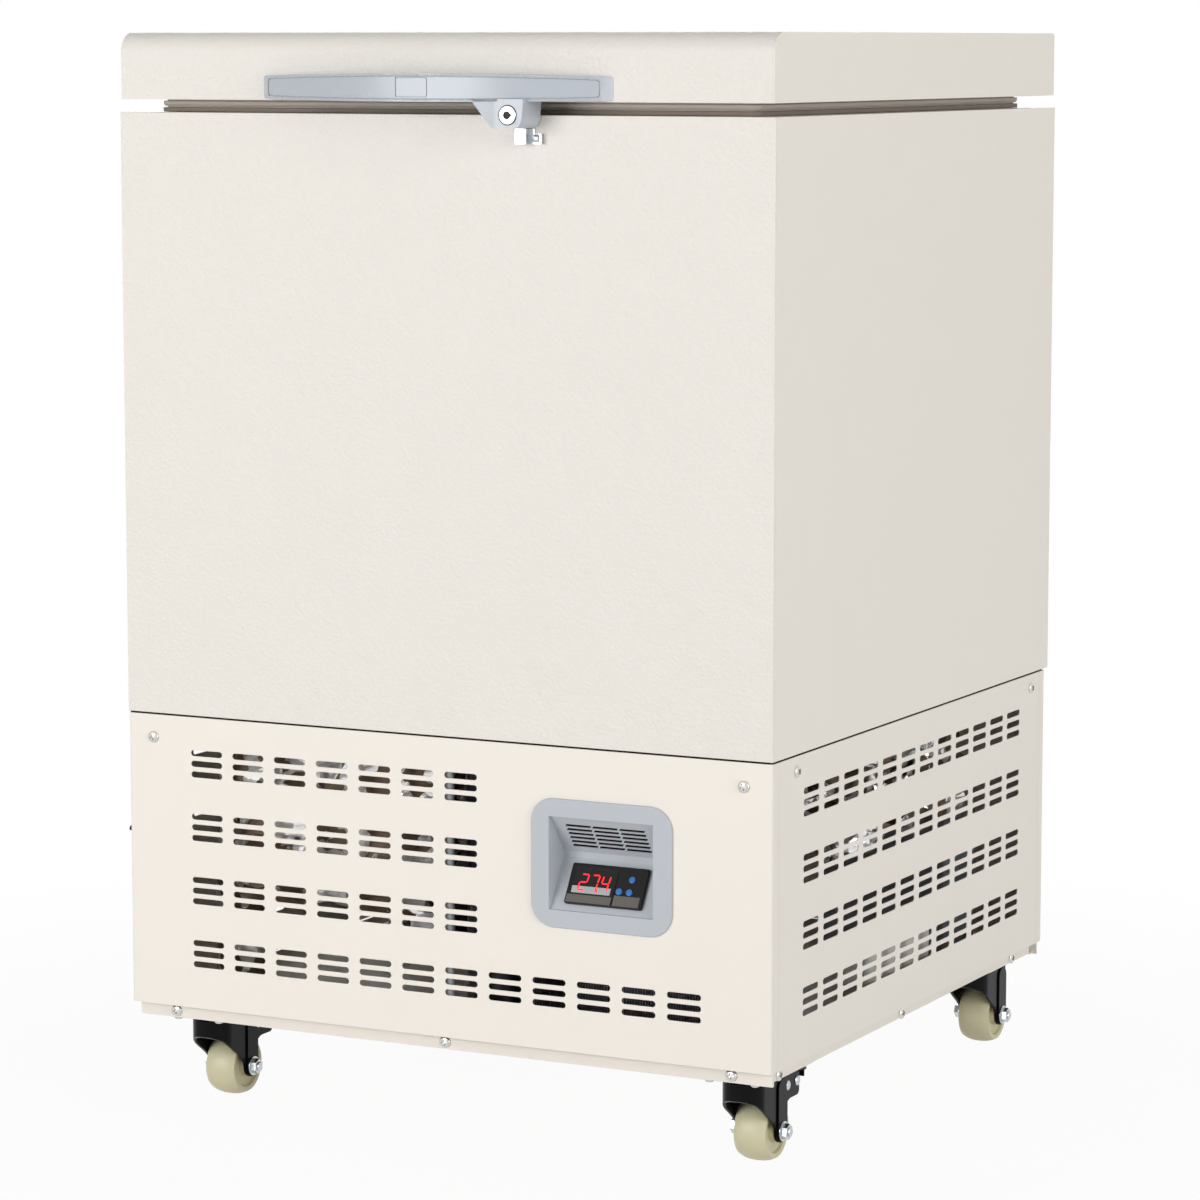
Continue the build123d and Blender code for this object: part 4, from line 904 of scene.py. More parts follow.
@dataclass(frozen=True)
class Lid:
    """The lid's bent top sheet and its end caps."""

    front_radius: float = 16.5
    rear_radius: float = 3.0
    steps: int = 14

    def outline(self, inset: float) -> list[Flat]:
        """Side outline of the lid as (y, z), brought in by an inset.

        Args:
            inset: millimetres inwards, all round but at the foot.

        Returns:
            The points.
        """
        top, rear = LAYOUT.lid_top - inset, LAYOUT.depth - inset
        nose, heel = self.front_radius - inset, self.rear_radius - inset
        return ([(inset, LAYOUT.lid_bottom)]
                + Outline.arc((inset + nose, top - nose), nose, 180, 90, self.steps)
                + Outline.arc((rear - heel, top - heel), heel, 90, 0, 4)
                + [(rear, LAYOUT.lid_bottom)])

    def build(self) -> None:
        """Build the top sheet and both end caps."""
        sheet, half = LAYOUT.sheet, LAYOUT.half_lid
        hollow = self.outline(sheet)
        shell = self.outline(0) + hollow[::-1]
        top = Bench.slab("lid_stucco_sheet", SECTION, shell, sheet - half, half - sheet)
        Bench.deliver(Bench.soften(top, 0), STUCCO, "lid_top_sheet", "lid_top_sheet")
        caps = []
        for low, high in ((-half, sheet - half), (half - sheet, half)):
            caps.append(Bench.slab("cap", SECTION, self.outline(0), low, high))
        ends = Bench.join("lid_end_caps", *caps)
        Bench.deliver(Bench.soften(ends, 0.35), SMOOTH_COAT, "lid_ends", "lid_ends")


@dataclass(frozen=True)
class Gasket:
    """The lid's bellows seal: stacked lips of uneven reach."""

    inset: float = 23.0
    width: float = 17.0
    corner: float = 7.0
    low: float = 836.8
    lips: tuple[tuple[float, float, float], ...] = (
        (0.0, 3.4, 0.0), (3.4, 4.5, 2.6), (4.5, 5.5, 0.9), (5.5, 8.6, 0.2), (8.6, 10.2, 2.4),
    )

    def ring(self, name: str, inset: float, low: float, high: float) -> Piece:
        """One lip as a solid with round corners."""
        half, rear = LAYOUT.half_lid - inset, LAYOUT.depth - inset
        shape = Outline.rounded(-half, half, inset, rear, self.corner, 5)
        return Bench.slab(name, LEVEL, shape, low, high)

    def build(self) -> None:
        """Build the lips and open their middle."""
        lips = []
        for low, high, back in self.lips:
            lip = self.ring("lip", self.inset + back, self.low + low, self.low + high)
            inner = self.ring("inner", self.inset + self.width - back, self.low + low - 1,
                              self.low + high + 1)
            lips.append(Bench.soften(Bench.cut(lip, inner), 0.45, 3))
        foot, *rest = lips
        Bench.deliver(Bench.join("lid_bellows_foot", foot), SEAL_FOOT, "lid_gasket")
        Bench.deliver(Bench.join("lid_bellows_seal", *rest), SEAL, "lid_gasket", "lid_gasket")


@dataclass(frozen=True)
class Handle:
    """The bowed grip of the lid, its cover strip and the housing of the lock."""

    half: float = 158.0
    depth: float = 40.0
    end_depth: float = 7.0
    end_run: float = 7.2
    low_sag: float = 1.3
    end_height: float = 18.2
    top_rise: float = 2.5
    wall: float = 4.0
    roof: float = 2.5
    strip_end: float = 8.5
    strip_edge: float = 2.2
    strip_gap: float = 0.45
    plate_half: float = 13.75
    bow_steps: int = 40
    boss: float = 12.6

    def bow(self, inset: float, rear: float) -> list[Flat]:
        """Plan of the grip, brought in by an inset and closed at a rear line.

        Args:
            inset: millimetres behind the outer face.
            rear: where the plan ends, as a distance behind the front plane.

        Returns:
            The points as (x, y).
        """
        shoulder = self.half - self.end_run
        sagitta = self.depth - self.end_depth
        radius = (shoulder ** 2 + sagitta ** 2) / (2 * sagitta)
        reach = math.degrees(math.asin(shoulder / radius))
        curve = Outline.arc((0.0, radius - self.depth), radius, -90 - reach, -90 + reach,
                            self.bow_steps)
        line = [(-self.half, self.depth), (-self.half, 0.0), *curve, (self.half, 0.0),
                (self.half, self.depth)]
        return Outline.before(Outline.sideways(line, inset), rear)

    def face(self, inset: float, end_inset: float, corner: float = 2.5) -> list[Flat]:
        """Front outline of the grip: a shallow arch above a lower edge that sags.

        Args:
            inset: millimetres in from the top and the foot.
            end_inset: millimetres in from the ends.
            corner: the corners' radius.

        Returns:
            The points as (x, z).
        """
        half = self.half - end_inset
        foot = LAYOUT.lid_bottom + inset
        head = LAYOUT.lid_bottom + self.low_sag + self.end_height - inset
        points = []
        for share in (step / 20 - 1 for step in range(41)):
            inner = share * (half - corner)
            points.append((inner, foot + self.low_sag * (inner / half) ** 2))
        lower_end = foot + self.low_sag
        points += Outline.arc((half - corner, lower_end + corner), corner, -90, 0, 5)[1:]
        points += Outline.arc((half - corner, head - corner), corner, 0, 90, 5)
        for share in (1 - step / 20 for step in range(1, 40)):
            inner = share * (half - corner)
            points.append((inner, head + self.top_rise * (1 - (inner / half) ** 2)))
        points += Outline.arc((corner - half, head - corner), corner, 90, 180, 5)
        points += Outline.arc((corner - half, lower_end + corner), corner, 180, 270, 5)[:-1]
        return points

    def shell(self, name: str, inset: float, edge: float, end: float) -> Piece:
        """The bowed block inside a front outline.

        Args:
            name: the piece's name.
            inset: millimetres behind the outer face.
            edge: millimetres in from the outline's top and foot.
            end: millimetres in from its ends.

        Returns:
            The solid.
        """
        body = Bench.slab(name, LEVEL, self.bow(inset, -0.05), LAYOUT.lid_bottom - 2,
                          LAYOUT.lid_top)
        mask = Bench.slab("mask", FRONT, self.face(edge, end), -1, self.depth + 1)
        return Bench.combine(body, mask, Joining.KEEP)

    def build(self) -> None:
        """Build the grip with its groove, the strip, the blank plate and the housing."""
        grip = self.shell("handle_grip", 0, 0, 0)
        inner_top = LAYOUT.lid_bottom + self.low_sag + self.end_height - self.roof
        Bench.cut(grip, Bench.slab("hollow", LEVEL, self.bow(self.wall, 2),
                                   LAYOUT.lid_bottom - 4, inner_top))
        Bench.soften(grip, 1.1, 3)
        groove = self.shell("groove", -2, self.strip_edge, self.strip_end)
        core = Bench.slab("core", LEVEL, self.bow(1.3, 3), LAYOUT.lid_bottom - 5,
                          LAYOUT.lid_top + 3)
        Bench.cut(grip, Bench.cut(groove, core))
        Bench.cut(grip, Lock.bore("handle_bore"))
        Bench.soften(grip, 0)
        Bench.deliver(grip, HANDLE_PLASTIC, "handle_body", "handle_body")
        self.strip()
        self.housing()

    def strip(self) -> None:
        """Lay the cover strip in the groove, with a blank plate at its middle."""
        edge, end = self.strip_edge + self.strip_gap, self.strip_end + self.strip_gap
        cover = self.shell("handle_cover_strip", 0.3, edge, end)
        back = Bench.slab("back", LEVEL, self.bow(1.25, 3), LAYOUT.lid_bottom - 5,
                          LAYOUT.lid_top + 3)
        Bench.cut(cover, back)
        line = [(-self.plate_half, self.plate_half), (-self.plate_half - 0.5, self.plate_half + 0.5)]
        for (left, right), grow in zip(line[::-1], (0.25, -0.25)):
            low, high = 850.9 - grow, 865.7 + grow
            tool = Bench.slab("tool", FRONT, Outline.rounded(left, right, low, high, 1.2, 4),
                              20, self.depth + 2)
            if grow > 0:
                Bench.cut(cover, tool)
            else:
                plate = self.shell("plate", 0.55, self.strip_edge, self.strip_end)
                rear = Bench.slab("rear", LEVEL, self.bow(1.25, 3), LAYOUT.lid_bottom - 5,
                                  LAYOUT.lid_top + 3)
                Bench.combine(Bench.cut(plate, rear), tool, Joining.KEEP)
        Bench.soften(cover, 0.35, 2)
        Bench.soften(plate, 0.2, 2)
        both = Bench.join("handle_cover_strip", cover, plate)
        Bench.deliver(both, HANDLE_PLASTIC, "handle_cover", "handle_cover")

    def housing(self) -> None:
        """Build the tapered housing under the grip, with a flat face round the barrel."""
        middle, foot, top = Lock.x, LAYOUT.lid_bottom - 20, LAYOUT.lid_bottom + 2.4
        skirt = Bench.slab("lock_housing", LEVEL, self.bow(0, -1.5), foot, top)
        flank = [(middle - 31, top), (middle - 14, foot), (middle, foot), (middle, top)]
        Bench.combine(skirt, Bench.slab("mask", FRONT, flank, 0, self.depth + 1), Joining.KEEP)
        shape = ([(middle - self.boss, foot), (middle + 7.66, foot)]
                 + Outline.arc((middle, Lock.z), self.boss, -52.5, 0, 10)
                 + [(middle + self.boss + 1, top), (middle - self.boss, top)])
        Bench.fuse(skirt, Bench.slab("boss", FRONT, shape, 1.5, 32.5))
        Bench.soften(skirt, 0.7, 3)
        rim = Bench.disc("rim", FRONT, middle, Lock.z, Lock.radius + 0.9, 31.2, 42, 48)
        Bench.cut(skirt, rim, Lock.bore("housing_bore"))
        Bench.soften(skirt, 0)
        Bench.deliver(skirt, HANDLE_PLASTIC, "handle_body")


@dataclass(frozen=True)
class Lock:
    """The lock barrel with its keyway, the hook cam and the striker on the cabinet."""

    x: float = 82.0
    z: float = 837.0
    radius: float = 7.2
    face: float = 33.3
    rear: float = 6.0
    striker_top: float = 826.2
    striker_height: float = 12.0

    @classmethod
    def bore(cls, name: str) -> Piece:
        """The hole that the barrel turns in."""
        return Bench.disc(name, FRONT, cls.x, cls.z, cls.radius + 0.05, 4, 42, 48)

    def build(self) -> None:
        """Build the barrel and the striker."""
        face, radius = self.face, self.radius
        profile = [(0, self.rear), (radius, self.rear), (radius, face - 0.5), (radius - 0.5, face),
                   (radius - 0.8, face), (radius - 0.9, face - 1.6), (radius - 1.7, face - 1.6),
                   (radius - 1.8, face - 0.15), (0, face)]
        barrel = Bench.turned("lock_barrel_plug", FRONT, profile, 48, self.x, self.z)
        way = Bench.slab("way", FRONT, [(self.x + u, self.z + v) for u, v in
                                        Outline.capsule(7.6, 2.4)], face - 6, face + 1)
        wide = Bench.disc("wide", FRONT, self.x - 0.4, self.z, 3.3, face - 6, face + 1, 20)
        Bench.cut(barrel, way, wide)
        Bench.deliver(Bench.soften(barrel, 0), NICKEL, "lock_barrel", "lock_barrel")
        dark = Bench.disc("lock_keyway_shade", FRONT, self.x, self.z, 4.4, face - 4, face - 1.1, 20)
        Bench.deliver(Bench.soften(dark, 0.2), BLACK_PLASTIC, "lock_barrel")
        self.striker()

    def striker(self) -> None:
        """Build the stamped catch as one bent strip with its lip and screw."""
        top, low = self.striker_top, self.striker_top - self.striker_height
        bend = Outline.arc((84.3, -7.8), 1.2, -90, 0, 4)
        plan = [(76, -9), *bend, (85.5, -1.5), (95.5, -1.5), (95.5, -5), (97, -5), (97, 0),
                (84, 0), (84, -7.5), (76, -7.5)]
        strip = Bench.slab("striker_catch", LEVEL, plan, low, top)
        Bench.cut(strip, Bench.block("notch", (89.5, 99), (-6, 1), (top - 4, top + 1)))
        lip = Bench.block("lip", (76, 84.2), (-9, -2), (top - 1.5, top))
        Bench.fuse(strip, lip)
        Bench.soften(strip, 0.3, 2)
        head = Screws(radius=3.4, height=2.4, recess=1.5).head("striker_screw")
        place = FRONT.matrix(91.0, low + 4.4, 1.5)
        screw = Bench.twin("striker_screw_head", head, place)
        bpy.data.objects.remove(head, do_unlink=True)
        whole = Bench.join("striker_catch", strip, screw)
        Bench.deliver(whole, ZINC, "lock_striker", "lock_striker")


@dataclass(frozen=True)
class Screws:
    """Pan head screws with a cross recess."""

    radius: float = 5.0
    height: float = 2.6
    recess: float = 1.8

    def head(self, name: str) -> Piece:
        """One head at the origin, facing up.

        Args:
            name: its name.

        Returns:
            The head.
        """
        radius, height = self.radius, self.height
        dome = [(radius * math.cos(math.radians(step)),
                 height * (0.3 + 0.7 * math.sin(math.radians(step)))) for step in range(0, 90, 18)]
        head = Bench.turned(name, WORLD, [(0, 0), (radius, 0), *dome, (0, height)], 28)
        arm, half = radius * 0.56, radius * 0.13
        for turn in (0, 1):
            spread = (arm, half) if turn == 0 else (half, arm)
            slot = Bench.slab("slot", WORLD, Outline.rectangle(-spread[0], spread[0], -spread[1],
                                                               spread[1]),
                              height - self.recess, height + 1)
            Bench.cut(head, slot)
        return Bench.soften(head, 0)

    def places(self) -> list[Matrix]:
        """Where the panel screws stand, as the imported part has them."""
        half, seat = LAYOUT.half_width, 0.05
        high, low = LAYOUT.panel_top - 19.0, LAYOUT.panel_bottom + 19.0
        rim, side_z = LAYOUT.panel_bottom - 6.0, LAYOUT.panel_top - 12.0
        rear = LAYOUT.lower_rear
        places = []
        for x in (24.5 - half, half - 24.5):
            places.append(FRONT.matrix(x, high, seat, 20))
            places += [BACK.matrix(x, z, seat, 35) for z in (high, low)]
        places += [FRONT.matrix(x, rim, seat - 9.0, 12) for x in (38.5 - half, 0, half - 38.5)]
        for y in (45.5, rear - 34.0):
            places += [RIGHT.matrix(y, side_z, seat, 40), LEFT.matrix(-y, side_z, seat, 25)]
        for y in (20.0, rear / 2 - 24.0, rear - 66.0):
            places += [RIGHT.matrix(y, rim + 2.2, seat - 3.0, 15),
                       LEFT.matrix(-y, rim + 2.2, seat - 3.0, 30)]
        return places

    def build(self) -> None:
        """Set a head at every place."""
        heads = Bench.copies("panel_screw_heads", self.head("pattern"), self.places())
        Bench.deliver(heads, NICKEL, "panel_screws", "panel_screws")


@dataclass(frozen=True)
class LowerPanels:
    """The louvred panels round the machine compartment."""

    wrap: float = 13.3
    corner: float = 3.0
    slot: Flat = (30.0, 5.0)
    slot_step: float = 9.0
    row_pitch: float = 53.5
    low_row: float = 46.6
    front_pitch: float = 40.0
    side_pitch: float = 39.2
    columns: int = 12
    short_columns: int = 7
    rim: float = 0.35

    def slots(self, plane: Plane, middle: float, pitch: float, counts: Sequence[int],
              first_row: int = 0) -> Piece:
        """All the slots of one panel as one cutter.

        Args:
            plane: the panel's outer face.
            middle: where the pattern's middle lies across.
            pitch: from column to column.
            counts: how many columns each row has, from the lowest row.
            first_row: the lowest row's number.

        Returns:
            The cutter.
        """
        pattern = Bench.slab("pattern", WORLD, Outline.capsule(*self.slot, 7), -3, 2)
        columns = max(counts)
        places = []
        for row, count in enumerate(counts, first_row):
            for column in range(count):
                for step in (-1, 0, 1):
                    u = middle + (column - (columns - 1) / 2) * pitch
                    v = LAYOUT.panel_bottom + self.low_row + row * self.row_pitch
                    places.append(plane.matrix(u, v + step * self.slot_step))
        return Bench.copies("slots", pattern, places)

    def fold(self, name: str, plane: Plane) -> Piece:
        """A panel whose ends wrap round both corners.

        Args:
            name: the piece's name.
            plane: the panel's outer face.

        Returns:
            The folded sheet.
        """
        half, deep, bend, sheet = LAYOUT.half_width, self.wrap, self.corner, LAYOUT.sheet
        outer = ([(-half, deep)] + Outline.arc((bend - half, bend), bend, 180, 270, 6)
                 + Outline.arc((half - bend, bend), bend, 270, 360, 6) + [(half, deep)])
        inner = ([(half - sheet, deep)]
                 + Outline.arc((half - bend, bend), bend - sheet, 360, 270, 6)
                 + Outline.arc((bend - half, bend), bend - sheet, 270, 180, 6)
                 + [(sheet - half, deep)])
        flat = Plane(plane.origin, plane.across, -plane.out)
        return Bench.slab(name, flat, outer + inner, LAYOUT.panel_bottom, LAYOUT.panel_top)

    def build(self) -> None:
        """Build the front, rear and side panels."""
        front = self.fold("front_louvre_panel", FRONT)
        counts = (self.columns, *[self.short_columns] * 3)
        Bench.cut(front, self.slots(FRONT, 0, self.front_pitch, counts))
        left, right = Bezel.x - Bezel.window[0] / 2 - 2.3, Bezel.x + Bezel.window[0] / 2 + 2.3
        low, high = Bezel.z - Bezel.window[1] / 2 - 2.3, Bezel.z + Bezel.window[1] / 2 + 2.3
        Bench.cut(front, Bench.block("hole", (left, right), (-3, 3), (low, high)))
        self.finish(front, "front_panel")
        rear = self.fold("rear_louvre_panel", BACK)
        Bench.cut(rear, self.slots(BACK, -LAYOUT.half_width / 3, self.front_pitch, (6, 6), 1))
        Bench.cut(rear, Bench.block("hole", (-225.3, -194.7), (570, 590), (150.2, 173.8)))
        self.finish(rear, "rear_panel")
        run = (self.wrap + 0.3, LAYOUT.lower_rear - self.wrap - 0.3)
        middle = sum(run) / 2
        for plane, side, name in ((RIGHT, 1, "side_panel_right"), (LEFT, -1, "side_panel_left")):
            ends = sorted((side * run[0], side * run[1]))
            sheet = Outline.rectangle(*ends, LAYOUT.panel_bottom, LAYOUT.panel_top)
            panel = Bench.slab(name.replace("panel", "louvre_panel"), plane, sheet, -LAYOUT.sheet,
                               0)
            Bench.cut(panel, self.slots(plane, side * middle, self.side_pitch, (12,) * 4))
            if side < 0:
                Bench.cut(panel, Bench.disc("hole", LEFT, -19.0, 234.0, 3.0, -3, 3))
            self.finish(panel, name)

    def finish(self, panel: Piece, node: str) -> None:
        """Round the slots' rims and hand the panel over."""
        Bench.deliver(Bench.soften(panel, self.rim, 2, 40), SMOOTH_COAT, node, node)


@dataclass(frozen=True)
class Bezel:
    """The moulded control surround with its sloped recess and grille."""

    x: float = 147.5
    z: float = 244.8
    size: Flat = (125.4, 104.8)
    corner: float = 20.0
    proud: float = 2.5
    window: Flat = (92.5, 75.4)
    deep: float = 23.0
    crease_top: float = 250.83
    crease_low: float = 245.83
    wall: float = 2.0
    rows: int = 6
    columns: int = 3
    slot: Flat = (22.0, 2.9)
    pitch: Flat = (24.0, 4.5)
    first_row: float = 9.5

    @property
    def low(self) -> float:
        """The window's foot."""
        return self.z - self.window[1] / 2

    @property
    def top(self) -> float:
        """The window's top."""
        return self.z + self.window[1] / 2

    def grille_plane(self) -> Plane:
        """The upper slope, from its top edge, with its up direction down the slope."""
        fall = Vector((0.0, self.deep, self.crease_top - self.top)).normalized()
        return Plane(spot(self.x, 0, self.top), -ACROSS, fall)

    def key_plane(self) -> Plane:
        """The lower slope that carries the controller, about its middle."""
        rise = Vector((0.0, self.deep, self.crease_low - self.low)).normalized()
        middle = spot(self.x, self.deep / 2, (self.crease_low + self.low) / 2)
        return Plane(middle, ACROSS, rise)

    def build(self) -> None:
        """Build the plate, the recess and the grille's slots."""
        half_u, half_v = self.size[0] / 2, self.size[1] / 2
        shape = Outline.rounded(self.x - half_u, self.x + half_u, self.z - half_v,
                                self.z + half_v, self.corner, 12)
        plate = Bench.slab("control_surround", FRONT, shape, 0.02, self.proud)
        Bench.soften(plate, 1.4, 3)
        half = self.window[0] / 2
        left, right = self.x - half, self.x + half
        deep, wall = self.deep, self.wall
        outer = [(0.02, self.top + wall), (deep + wall, self.crease_top + 1.2),
                 (deep + wall, self.crease_low - 1.2), (0.02, self.low - wall)]
        tray = Bench.slab("tray", SECTION, outer, left - wall, right + wall)
        Bench.fuse(plate, tray)
        inner = [(-9, self.top), (0, self.top), (deep, self.crease_top), (deep, self.crease_low),
                 (0, self.low), (-9, self.low)]
        Bench.cut(plate, Bench.slab("room", SECTION, inner, left, right))
        key = self.key_plane()
        Bench.cut(plate, Bench.slab("hole", key, Outline.rectangle(-29.5, 29.5, -14, 14), -5, 5))
        Bench.soften(plate, 0.5, 2, 25)
        plane = self.grille_plane()
        thin = Outline.rectangle(-38, 38, self.first_row - 3,
                                 self.first_row + (self.rows - 1) * self.pitch[1] + 3)
        Bench.cut(plate, Bench.slab("thin", plane, thin, -7, -0.7))
        slot = Bench.slab("slot", WORLD, self.slanted(), -5, 5)
        places = [plane.matrix((column - 1) * self.pitch[0], self.first_row + row * self.pitch[1])
                  for row in range(self.rows) for column in range(self.columns)]
        Bench.cut(plate, Bench.copies("slots", slot, places))
        Bench.soften(plate, 0)
        Bench.deliver(plate, BEZEL_PLASTIC, "control_bezel", "control_bezel")
        # Dark sheet behind the grille's slots, so that they look black: painted shade
        grille_shade = Bench.slab("grille_painted_shade", plane, thin, -6.5, -5)
        Bench.deliver(Bench.soften(grille_shade, 0.2), PAINTED_SHADE, "control_bezel")

    def slanted(self) -> list[Flat]:
        """One grille slot, its ends cut on a slant."""
        half, rise = self.slot[0] / 2, self.slot[1] / 2
        lean = 0.9
        return [(-half - lean, -rise), (half - lean, -rise), (half + lean, rise),
                (-half + lean, rise)]


@dataclass(frozen=True)
class Controller:
    """The panel controller: its frame, lens, digits and keys."""

    size: Flat = (68.5, 34.5)
    proud: float = 3.5
    lens: tuple[float, float, float, float] = (-30.5, 7.5, -8.5, 12.5)
    digit: Flat = (7.4, 14.4)
    stroke: float = 1.25
    lean: float = 0.12
    advance: float = 9.7
    foot: float = -5.9
    start: float = -25.0
    reading: str = "27.4"
    key_radius: float = 2.8
    keys: tuple[tuple[str, float, float], ...] = (
        ("key_up", 21.4, 6.7), ("key_set", 12.2, -4.0), ("key_down", 21.3, -4.0),
    )
    lit: tuple[tuple[str, str], ...] = (("2", "abged"), ("7", "abc"), ("4", "fgbc"))
    prints: tuple[tuple[str, Finish, tuple[float, float, float, float]], ...] = (
        ("pale_band", PALE_PRINT, (-30.0, 4.4, -8.0, -2.1)),
        ("foot_band", BROWN_PRINT, (-33.0, 6.6, -16.1, -9.4)),
        ("key_band", BROWN_PRINT, (8.6, 31.5, -16.1, -7.4)),
    )

    def build(self) -> None:
        """Build every piece of the controller."""
        plane = Bezel().key_plane()
        self.frame(plane)
        self.window(plane)
        self.digits(plane)
        for name, finish, edges in self.prints:
            band = Bench.slab("controller_" + name, plane, Outline.rectangle(*edges),
                              self.proud - 0.01, self.proud + 0.012)
            Bench.deliver(Bench.soften(band, 0), finish, "controller_case")
        for node, u, v in self.keys:
            self.key(plane, node, u, v)

    def frame(self, plane: Plane) -> None:
        """The case with its front frame, lens pocket and key holes."""
        half_u, half_v = self.size[0] / 2, self.size[1] / 2
        case = Bench.slab("controller_frame", plane,
                          Outline.rounded(-half_u, half_u, -half_v, half_v, 1.8, 5), 0, self.proud)
        Bench.soften(case, 0.9, 3)
        pocket = Bench.slab("pocket", plane, Outline.rectangle(*self.lens), self.proud - 0.82,
                            self.proud + 1)
        groove = Bench.slab("groove", plane, Outline.rectangle(7.7, 8.2, -16, 13), self.proud - 0.5,
                            self.proud + 1)
        Bench.cut(case, pocket, groove)
        for _, u, v in self.keys:
            Bench.cut(case, Bench.disc("hole", plane, u, v, self.key_radius + 0.25,
                                       self.proud - 3.2, self.proud + 1, 28))
        Bench.soften(case, 0)
        body = Bench.slab("case", plane, Outline.rectangle(-29, 29, -13.5, 13.5), -42, 0)
        whole = Bench.join("controller_frame", case, Bench.soften(body, 0.6))
        Bench.deliver(whole, BLACK_PLASTIC, "controller_case", "controller_case")

    def window(self, plane: Plane) -> None:
        """The smoked lens over the digits."""
        left, right, low, high = self.lens
        lens = Bench.slab("display_lens", plane,
                          Outline.rectangle(left + 0.1, right - 0.1, low + 0.1, high - 0.1),
                          self.proud - 0.8, self.proud)
        Bench.deliver(Bench.soften(lens, 0.15), LENS, "display_window", "display_window")

    def bar(self, plane: Plane, name: str, u: float, v: float, length: float,
            upright: bool) -> Piece:
        """One pointed segment of a digit, leaned like italics.

        Args:
            plane: the controller's slope.
            name: its name.
            u: its middle, across.
            v: its middle, up.
            length: its length.
            upright: whether it stands or lies.

        Returns:
            The segment.
        """
        reach, half = length / 2, self.stroke / 2
        shape = [(-reach, 0.0), (half - reach, -half), (reach - half, -half), (reach, 0.0),
                 (reach - half, half), (half - reach, half)]
        turned = [(-b, a) if upright else (a, b) for a, b in shape]
        placed = [(u + a + self.lean * (v + b - self.foot), v + b) for a, b in turned]
        return Bench.slab(name, plane, placed, self.proud + 0.02, self.proud + 0.05)

    def digits(self, plane: Plane) -> None:
        """Light the segments of the reading."""
        wide, tall = self.digit[0] - self.stroke, self.digit[1] - self.stroke
        half = tall / 2
        low = self.foot + self.stroke / 2
        layout = {"a": (wide / 2, tall, False), "g": (wide / 2, half, False),
                  "d": (wide / 2, 0, False), "b": (wide, half * 1.5, True),
                  "c": (wide, half * 0.5, True), "e": (0, half * 0.5, True),
                  "f": (0, half * 1.5, True)}
        bars, at = [], self.start
        segments = dict(self.lit)
        for sign in self.reading:
            if sign == ".":
                dot = Bench.slab("dot", plane,
                                 [(at - 2.2 + a, low + b) for a, b in Outline.regular(1.15, 12)],
                                 self.proud + 0.02, self.proud + 0.05)
                bars.append(dot)
                continue
            for key in segments[sign]:
                u, v, upright = layout[key]
                length = (half if upright else wide) - 0.35
                bars.append(self.bar(plane, "bar", at + u, low + v, length, upright))
            at += self.advance
        whole = Bench.join("display_digits", *bars)
        Bench.deliver(whole, DIGIT_RED, "display_window")

    def key(self, plane: Plane, node: str, u: float, v: float) -> None:
        """A round key with a softly domed face."""
        radius, top = self.key_radius, self.proud + 1.2
        profile = [(0, self.proud - 2.4), (radius, self.proud - 2.4), (radius, top - 0.5),
                   (radius - 0.25, top - 0.15), (radius - 0.7, top), (0, top)]
        button = Bench.turned(node + "_button", plane, profile, 28, u, v)
        Bench.deliver(Bench.soften(button, 0), KEY_BLUE, node, node)


